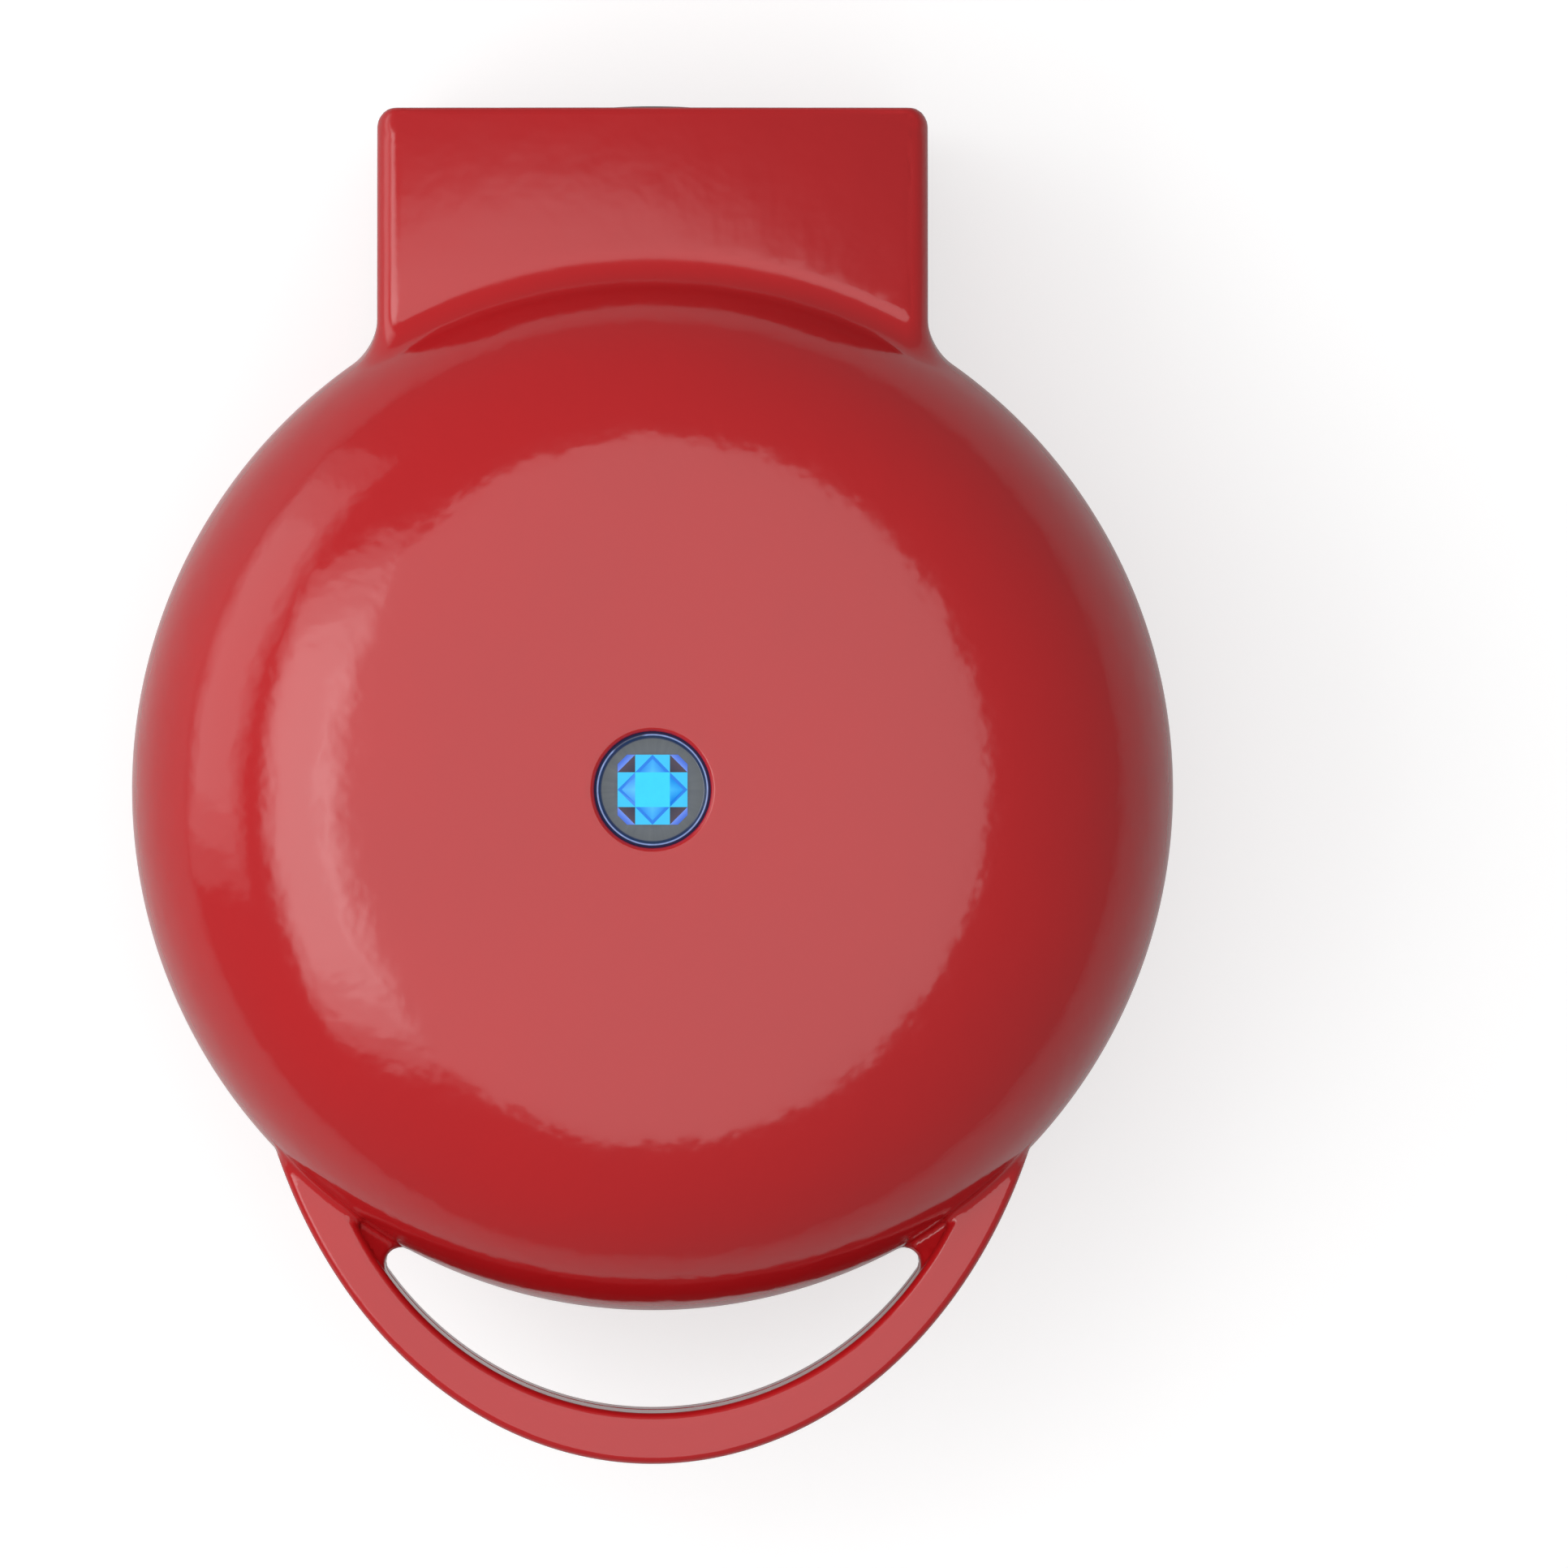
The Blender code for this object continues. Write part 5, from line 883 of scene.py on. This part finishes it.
def add_jewel(name, finish):
    """Faceted window of the lit indicator. The facets' corners keep their glows, which blend between them."""
    quarter = jewel_quarter()
    names = list(quarter)

    def corner_number(turn, corner):
        turn += {"-": -1, "+": 1}.get(corner[0], 0)
        return turn % 4 * len(names) + names.index(corner.lstrip("-+"))

    points, faces, glows = [], [], []
    for turn in range(4):
        c, s = round(math.cos(turn * math.pi / 2)), round(math.sin(turn * math.pi / 2))
        points += [(c * x - s * y, s * x + c * y, z) for x, y, z in quarter.values()]
        for facet_glows, corners in JEWEL_FACETS:
            faces.append([corner_number(turn, corner) for corner in corners])
            glows += facet_glows if len(facet_glows) == len(corners) else facet_glows * len(corners)
    top, foot = ("table", names[:4], (0, 1, 2, 3)), ("dark", names[:-4:-1], (3, 2, 1, 0))
    for glow, corners, turns in (top, foot):
        faces.append([corner_number(turn, corner) for turn in turns for corner in corners])
        glows += [glow] * len(faces[-1])
    data = bpy.data.meshes.new(name)
    data.from_pydata([tuple(point) for point in placed(points)], [], faces)
    attribute = data.color_attributes.new("glow", "FLOAT_COLOR", "CORNER")
    colours = np.array([(*JEWEL_GLOWS[glow], 1.0) for glow in glows], np.float32)
    attribute.data.foreach_set("color", colours.ravel())
    data.materials.append(finish)
    piece = bpy.data.objects.new(name, data)
    bpy.context.scene.collection.objects.link(piece)
    return piece


class Value:
    """A node's output that takes part in sums as a number does: each operation adds one Math node."""

    def __init__(self, nodes, socket):
        self.nodes, self.socket = nodes, socket

    def math(self, operation, first, second):
        return self.nodes.node("Math", {"operation": operation}, {0: first, 1: second})

    def __add__(self, other):
        return self.math("ADD", self, other)

    def __radd__(self, other):
        return self.math("ADD", other, self)

    def __sub__(self, other):
        return self.math("SUBTRACT", self, other)

    def __rsub__(self, other):
        return self.math("SUBTRACT", other, self)

    def __mul__(self, other):
        return self.math("MULTIPLY", self, other)

    def __rmul__(self, other):
        return self.math("MULTIPLY", other, self)

    def __truediv__(self, other):
        return self.math("DIVIDE", self, other)

    def __rtruediv__(self, other):
        return self.math("DIVIDE", other, self)


class Nodes:
    """A node tree, with one method that adds any node."""

    def __init__(self, tree):
        self.tree = tree

    def feed(self, node, socket, value):
        """Give a socket a link, a number or a colour."""
        if isinstance(value, Value):
            self.tree.links.new(value.socket, node.inputs[socket])
        else:
            known = node.inputs[socket]
            known.default_value = (*value, 1.0) if known.type == "RGBA" and len(value) == 3 else value

    def node(self, kind, settings=None, sockets=None, output=0):
        """Add a node of a type, with its settings first and then the values or links of its sockets."""
        node = self.tree.nodes.new("ShaderNode" + kind)
        for key, value in (settings or {}).items():
            if key == "stops":
                ramp = node.color_ramp.elements
                while len(ramp) < len(value):
                    ramp.new(0.5)
                for stop, (position, colour) in zip(ramp, value):
                    stop.position, stop.color = position, (*colour, 1.0)
            else:
                setattr(node, key, value)
        for socket, value in (sockets or {}).items():
            self.feed(node, socket, value)
        return Value(self, node.outputs[output])

    def ray(self, kind):
        """1 for rays of a kind, such as Is Camera Ray, else 0."""
        return self.node("LightPath", output=kind)

    def mirrored(self):
        """1 for rays that show a background in a mirror or through glass, else 0."""
        glossy = self.ray("Is Glossy Ray")
        return glossy.math("MAXIMUM", glossy, self.ray("Is Transmission Ray"))


class Finish(Nodes):
    """A material: its Principled shader with constant sockets, and patterns in millimetres that change it."""

    def __init__(self, name, **sockets):
        self.material = bpy.data.materials.new(name)
        self.material.use_nodes = True
        super().__init__(self.material.node_tree)
        self.shader = self.tree.nodes["Principled BSDF"]
        for socket, value in sockets.items():
            self.feed(self.shader, socket.replace("_", " "), value)
        self.place = self.node("TexCoord", output="Object")

    def noise(self, size, detail=2.0, roughness=0.5):
        """Noise from 0 to 1 whose features are about size millimetres across."""
        sockets = {"Vector": self.place, "Scale": 1 / (size * MM), "Detail": detail, "Roughness": roughness}
        return self.node("TexNoise", None, sockets)

    def cells(self, size, output="Distance"):
        """Voronoi cells about size millimetres across."""
        return self.node("TexVoronoi", None, {"Vector": self.place, "Scale": 1 / (size * MM)}, output)

    def mix(self, factor, first, second):
        """Blend of two colours."""
        return self.node("Mix", {"data_type": "RGBA"}, {0: factor, 6: first, 7: second}, 2)

    def step(self, value, low, high):
        """From 0 to 1 as a value goes from low to high, smoothly."""
        sockets = {0: value, 1: low, 2: high, 3: 0.0, 4: 1.0}
        return self.node("MapRange", {"interpolation_type": "SMOOTHSTEP"}, sockets)

    def ramp(self, factor, *stops):
        """Colours laid along a factor."""
        return self.node("ValToRGB", {"stops": stops}, {0: factor})

    def parts(self):
        """The place's coordinates, in millimetres from the body's centre line."""
        split = self.node("SeparateXYZ", None, {0: self.place})
        x, y, z = (Value(self, split.socket.node.outputs[i]) for i in range(3))
        return x / MM, (y - CENTRE_Y) / MM, z / MM

    def bumps(self, *layers):
        """Relief made of layers of (pattern, height in millimetres), each laid on the one before."""
        normal = None
        for pattern, height in layers:
            sockets = {"Height": pattern, "Distance": height * MM, "Strength": 1.0}
            if normal is not None:
                sockets["Normal"] = normal
            normal = self.node("Bump", None, sockets)
        self.feed(self.shader, "Normal", normal)

    def wear(self, colour=None, roughness=None):
        """Set what changes over the surface."""
        if colour is not None:
            self.feed(self.shader, "Base Color", colour)
        if roughness is not None:
            self.feed(self.shader, "Roughness", roughness)
        return self


def make_finishes():
    """Every finish by the name that its packed material has."""
    made = {}

    red = made["gloss_red"] = Finish("gloss_red", Specular_IOR_Level=0.6, IOR=1.5)
    flow = red.noise(22, 3)
    _, y, _ = red.parts()
    dull = red.step(y, *DULLED)
    red.wear(
        red.mix(flow, (0.525, 0.0095, 0.0120), (0.475, 0.0115, 0.0150)),
        0.09 + 0.05 * red.noise(9, 4, 0.6) + 0.12 * dull,
    )
    red.bumps((red.noise(40, 1), 0.35), (red.noise(4.5, 2), 0.09), (red.noise(0.9, 2), 0.0025))

    black = made["black_plastic"] = Finish("grained_black", Specular_IOR_Level=0.5)
    grain = black.noise(0.5, 2)
    black.wear(
        black.mix(black.noise(6, 3), (0.016, 0.016, 0.017), (0.027, 0.027, 0.028)),
        0.42 + 0.2 * grain,
    )
    black.bumps((grain, 0.03))

    coat = made["non_stick_plate"] = Finish("non_stick", Metallic=0.15)
    speck = coat.ramp(coat.cells(0.9), (0.0, (1, 1, 1)), (0.13, (0, 0, 0)))
    plain = coat.mix(coat.noise(14, 4), (0.022, 0.022, 0.023), (0.038, 0.037, 0.037))
    coat.wear(coat.mix(speck, plain, (0.10, 0.10, 0.10)), 0.30 + 0.18 * coat.noise(3, 3))
    coat.bumps((coat.noise(0.45, 2), 0.018))

    steel = made["bright_steel"] = Finish("zinc_plated", Metallic=1.0)
    steel.wear(
        steel.mix(steel.noise(1.6, 4), (0.68, 0.66, 0.60), (0.50, 0.49, 0.46)),
        0.22 + 0.2 * steel.noise(0.8, 3),
    )
    steel.bumps((steel.noise(0.3, 2), 0.004))

    sheath = made["heater_sheath"] = Finish("heater_sheath", Metallic=0.8)
    tint = sheath.noise(11, 3)
    sheath.wear(
        sheath.ramp(tint, (0.3, (0.10, 0.095, 0.09)), (0.5, (0.17, 0.13, 0.10)), (0.7, (0.08, 0.08, 0.10))),
        0.42 + 0.2 * sheath.noise(1.5, 4),
    )
    sheath.bumps((sheath.noise(0.5, 3), 0.015))

    sheet = made["aluminised_sheet"] = Finish("aluminised_sheet", Metallic=1.0)
    spangle = sheet.cells(5.0, "Color")
    grey = sheet.node("RGBToBW", None, {0: spangle})
    sheet.wear(sheet.mix(grey, (0.58, 0.59, 0.60), (0.76, 0.77, 0.78)), 0.28 + 0.14 * grey)
    sheet.bumps((sheet.noise(0.7, 2), 0.006))

    rubber = made["rubber"] = Finish("foot_rubber", Specular_IOR_Level=0.3)
    dust = rubber.noise(2.2, 5, 0.65)
    rubber.wear(rubber.mix(dust, (0.012, 0.012, 0.012), (0.035, 0.034, 0.033)), 0.65 + 0.2 * dust)
    rubber.bumps((rubber.noise(0.35, 3), 0.02))

    lens = Finish("smoked_lens", Emission_Strength=1.0, Coat_Weight=0.4, Coat_Roughness=0.03)
    made["blue_lens"] = lens
    x, y, _ = lens.parts()
    radius = lens.node("Math", {"operation": "SQRT"}, {0: x * x + y * y})
    angle = lens.node("Math", {"operation": "ARCTAN2"}, {0: y, 1: x})
    ray = lens.node("TexNoise", {"noise_dimensions": "1D"}, {"W": angle * 2.6, "Scale": 2.2, "Detail": 3.0})
    towards_dim = (x * math.cos(LIP_HIGHLIGHT_DIM) + y * math.sin(LIP_HIGHLIGHT_DIM)) / radius
    rim = lens.step(radius, *LENS_RIM)
    # Painted highlight: a pale blue ring of light on the lens's raised lip, streaked, and dim on one side
    lip = lens.step(radius, *LIP_HIGHLIGHT_START) * (1 - lens.step(radius, *LIP_HIGHLIGHT_END))
    lip = lip * (0.35 + 0.65 * ray) * (1 - 0.95 * lens.step(towards_dim, *LIP_HIGHLIGHT_DIM_SPREAD))
    face = lens.mix(ray, (0.028, 0.036, 0.044), (0.060, 0.070, 0.074))
    lens.wear(lens.mix(rim, face, (0.008, 0.014, 0.03)), 0.08 + 0.08 * ray)
    # Painted glow: the lens is no lamp, but faint streaked light comes off its face, brighter in a band round
    # the jewel and bluer near its rim
    halo = lens.step(radius, *HALO_START) * (1 - lens.step(radius, *HALO_END))
    glow = lens.mix(ray, (0.010, 0.018, 0.035), (0.022, 0.030, 0.038))
    glow = lens.mix(halo, (0.002, 0.008, 0.014), glow)
    glow = lens.mix(rim, glow, (0.010, 0.018, 0.052))
    lens.feed(lens.shader, "Emission Color", lens.mix(lip, glow, (0.26, 0.36, 0.74)))

    jewel = Finish("lit_jewel", Emission_Strength=1.0, Roughness=0.08, Specular_IOR_Level=0.25)
    made["jewel"] = jewel
    facet = jewel.node("Attribute", {"attribute_name": "glow"}, None, "Color")
    # Painted sparkle: the facets' glow is dimmed in small patches
    shimmer = jewel.mix(jewel.noise(0.9, 2), (0.84, 0.9, 0.96), (1.0, 1.0, 1.0))
    product = {"data_type": "RGBA", "blend_type": "MULTIPLY"}
    lit = jewel.node("Mix", product, {0: 1.0, 6: facet, 7: shimmer}, 2)
    jewel.feed(jewel.shader, "Emission Color", lit)
    jewel.wear(jewel.mix(0.9, facet, (0.0, 0.0, 0.0)))

    lamp = made["lamp"] = Finish("blue_lamp", Emission_Strength=0.8, Roughness=0.15)
    lamp.wear(lamp.mix(lamp.noise(2), (0.10, 0.45, 0.9), (0.2, 0.6, 1.0)))
    lamp.feed(lamp.shader, "Emission Color", (0.05, 0.45, 1.0))

    sleeve = made["woven_sleeve"] = Finish("woven_sleeve", Roughness=0.85, Sheen_Weight=0.2)
    x, y, z = sleeve.parts()
    warp = sleeve.node("Math", {"operation": "SINE"}, {0: (x + y + z) * 5.0})
    weft = sleeve.node("Math", {"operation": "SINE"}, {0: (x - y - z) * 5.0})
    weave = 0.5 + 0.5 * (warp * weft)
    sleeve.wear(sleeve.mix(weave, (0.55, 0.52, 0.44), (0.74, 0.72, 0.64)))
    sleeve.bumps((weave, 0.12))

    ceramic = made["ceramic"] = Finish("ceramic", Specular_IOR_Level=0.5)
    ceramic.wear(
        ceramic.mix(ceramic.noise(3, 5), (0.70, 0.67, 0.60), (0.83, 0.81, 0.76)),
        0.5 + 0.2 * ceramic.noise(1),
    )
    ceramic.bumps((ceramic.noise(0.6, 3), 0.03))

    wire = made["wire_insulation"] = Finish("wire_insulation", Specular_IOR_Level=0.5)
    wire.wear(
        wire.mix(wire.noise(4, 2), (0.55, 0.55, 0.53), (0.66, 0.66, 0.63)),
        0.5 + 0.15 * wire.noise(1.2),
    )
    wire.bumps((wire.noise(1.1, 2), 0.02))
    return {name: finish.material for name, finish in made.items()}


def add_shells(finishes):
    """The two red mouldings."""
    red = finishes["gloss_red"]
    lid = add_moulding("lid_moulding", lid_field, LID_SPAN, SHELL_CELL, SHELL_TRIANGLES, red, crowned)
    fit(lid, "lid", "gloss_red", "lid_shell")
    base = add_moulding("base_moulding", base_field, BASE_SPAN, SHELL_CELL, SHELL_TRIANGLES, red)
    fit(base, "base", "gloss_red", "base_shell")


def add_disc(name, field, reach, depths, sign, cell, triangles, finish):
    """A round piece of one half, from its field by depth on that half's side of the parting plane."""
    def mirrored(x, y, z):
        return field(x, y, (z - PARTING) * sign)

    low, high = sorted(PARTING + sign * depth for depth in depths)
    span = ((-reach, -reach, low), (reach, reach, high))
    return add_moulding(name, mirrored, span, cell, triangles, finish)


def add_screws(nodes, size, places, axis, body, steel):
    """Screws of one size on a body, each for its node."""
    for node, place in zip(nodes, places):
        screw = add_screw(node + "_cross_head", size, steel, place, axis)
        fit(screw, body, "bright_steel", node)


def at_quarters(distance, z):
    """The four places as far from the centre line both ways."""
    return [(u * distance, v * distance, z) for u, v in QUARTERS]


def add_half(half, body, sign, finishes):
    """One half's ring, plate and their screws."""
    black, coat, steel = (finishes[name] for name in ("black_plastic", "non_stick_plate", "bright_steel"))
    ring = add_disc(
        f"{half}_ring", ring_field, RING_REACH, RING_DEPTHS, sign, RING_CELL, RING_TRIANGLES, black
    )
    fit(ring, body, "black_plastic", f"{half}_inner_ring")
    plate = add_disc(
        f"{half}_pegged_plate", plate_field, PLATE_REACH, PLATE_DEPTHS, sign, PLATE_CELL, PLATE_TRIANGLES,
        coat,
    )
    fit(plate, body, "non_stick_plate", f"{half}_plate")
    places = at_quarters(RING_BOSS_PLACE, PARTING + sign * (RING_FACE + RING_SCREW_DEPTH))
    nodes = [f"{half}_ring_screw_{number}" for number in (1, 2, 3, 4)]
    add_screws(nodes, RING_SCREW, places, (0, 0, -sign), body, steel)
    places = [(u, v, PARTING + sign * PLATE_SCREW_DEPTH) for u, v in PLATE_SCREWS]
    nodes = [f"{half}_plate_screw_{number}" for number in (1, 2, 3)]
    add_screws(nodes, PLATE_SCREW, places, (0, 0, sign), body, steel)


def add_indicator(finishes):
    """Smoked lens with its raised lip, its painted glow and painted highlight, and the lit jewel in it."""
    lens = add_turned("smoked_lens", with_poles(LENS_PROFILE, LENS_ROUND), LENS_SIDES, finishes["blue_lens"])
    fit(lens, "lid", "blue_lens", "indicator_lens")
    jewel = add_jewel("lit_jewel", finishes["jewel"])
    fit(jewel, "lid", "blue_lens")


def add_underside(finishes):
    """Bottom cover and its screws, the feet and the cord's gland."""
    black = finishes["black_plastic"]
    cover = add_moulding("vented_cover", cover_field, COVER_SPAN, RING_CELL, RING_TRIANGLES, black)
    fit(cover, "base", "black_plastic", "bottom_cover")
    nodes = [f"cover_screw_{number}" for number in (1, 2, 3, 4)]
    places = at_quarters(COVER_BOSS_PLACE, COVER_SCREW_Z)
    add_screws(nodes, COVER_SCREW, places, (0, 0, -1), "base", finishes["bright_steel"])
    foot = with_poles(FOOT_PROFILE, FOOT_ROUND)
    for end, (x, y) in zip(("front", "rear"), FEET):
        for hand, sign in (("left", -1), ("right", 1)):
            name, place = f"rubber_foot_{end}_{hand}", (sign * x, y, 0)
            piece = add_turned(name, foot, ROUND_SIDES, finishes["rubber"], place)
            fit(piece, "base", "rubber", f"foot_{end}_{hand}")
    gland = softened(GLAND_PROFILE, GLAND_ROUND, closed=True)
    place = (0, BLOCK_REAR, GLAND_Z)
    piece = add_turned("cord_bush", gland, ROUND_SIDES, black, place, (0, 1, 0), closed=True)
    fit(piece, "base", "black_plastic", "cord_gland")


def add_floor():
    """Pale floor under the feet, which keeps the object's shadow."""
    data = bpy.data.meshes.new("floor")
    corners = [(-1, -1), (1, -1), (1, 1), (-1, 1)]
    data.from_pydata([(FLOOR_HALF * x, FLOOR_HALF * y, 0) for x, y in corners], [], [(0, 1, 2, 3)])
    floor = bpy.data.objects.new("floor", data)
    bpy.context.scene.collection.objects.link(floor)
    pale = Finish("pale_floor", Emission_Strength=1.0)
    pale.wear(pale.mix(pale.noise(FLOOR_PATCHES), (0.49, 0.49, 0.49), (0.51, 0.51, 0.51)), 0.9)
    glow = pale.ray("Is Camera Ray") * FLOOR_GLOW + pale.mirrored() * MIRRORED_GLOW
    pale.feed(pale.shader, "Emission Color", glow)
    data.materials.append(pale.material)


def add_lamp(name, place, width, height, radiance, shape="RECTANGLE"):
    """Soft light of an even radiance that faces the object."""
    data = bpy.data.lights.new(name, "AREA")
    data.shape = shape
    data.size, data.size_y = width, height
    surface = width * height * (math.pi / 4 if shape == "ELLIPSE" else 1)
    data.energy = radiance * surface * math.pi
    lamp = bpy.data.objects.new(name, data)
    bpy.context.scene.collection.objects.link(lamp)
    lamp.location = place
    lamp.rotation_euler = (Vector((0, 0, LAMP_AIM)) - Vector(place)).to_track_quat("-Z", "Y").to_euler()
    lamp.visible_camera = False


def round_the_object(tilt, turn, distance):
    """Place at a tilt from the vertical and a turn from the object's left towards its rear, in degrees."""
    tilt, turn = math.radians(tilt), math.radians(turn)
    out = distance * math.sin(tilt)
    return (-out * math.cos(turn), out * math.sin(turn), distance * math.cos(tilt) + LAMP_AIM)


def add_softbox(name, tilt, turn, distance, width, height, radiance):
    """Light that is brightest in its middle: a few nested lamps, each a little behind the one before."""
    for number, share in enumerate(SOFTBOX_SHARES):
        place = round_the_object(tilt, turn, distance + SOFTBOX_STEP * number)
        add_lamp(f"{name}_{number}", place, width * share, height * share, radiance / len(SOFTBOX_SHARES))


def add_lights():
    """Overhead light, two softboxes on the left and an even fill. The backdrop is pale where it is seen."""
    add_lamp("overhead", **OVERHEAD)
    add_softbox("upper_left", **UPPER_LEFT)
    add_softbox("lower_left", **LOWER_LEFT)
    world = bpy.data.worlds.new("studio")
    bpy.context.scene.world = world
    world.use_nodes = True
    studio = Nodes(world.node_tree)
    background = studio.tree.nodes["Background"]
    studio.feed(background, "Color", (1, 1, 1))
    strength = FILL + studio.ray("Is Camera Ray") * (1 - FILL) + studio.mirrored() * MIRRORED_FILL
    studio.feed(background, "Strength", strength)


def add_camera():
    """Camera straight above the body's centre line, with the photograph's frame."""
    data = bpy.data.cameras.new("camera")
    data.sensor_width = 36.0
    data.lens = data.sensor_width * CAMERA_RISE / (PHOTO_SIDE * PIXEL)
    data.shift_x = (PHOTO_SIDE / 2 - BODY_CENTRE[0]) / PHOTO_SIDE
    data.shift_y = (BODY_CENTRE[1] - PHOTO_SIDE / 2) / PHOTO_SIDE
    data.clip_end = 20.0
    camera = bpy.data.objects.new("camera", data)
    bpy.context.scene.collection.objects.link(camera)
    camera.location = (0, CENTRE_Y, PARTING * MM + CAMERA_RISE)
    bpy.context.scene.camera = camera


def dress_shown_nodes(finishes):
    """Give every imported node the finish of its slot."""
    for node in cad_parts.values():
        slots = node.data.materials
        for number, surface in enumerate(slots):
            slots[number] = finishes[surface.name.split(".")[0]]


finishes = make_finishes()
dress_shown_nodes(finishes)
add_shells(finishes)
add_half("upper", "lid", 1, finishes)
add_half("lower", "base", -1, finishes)
add_indicator(finishes)
add_underside(finishes)
add_floor()
add_lights()
add_camera()
bpy.context.scene.view_settings.view_transform = "Standard"
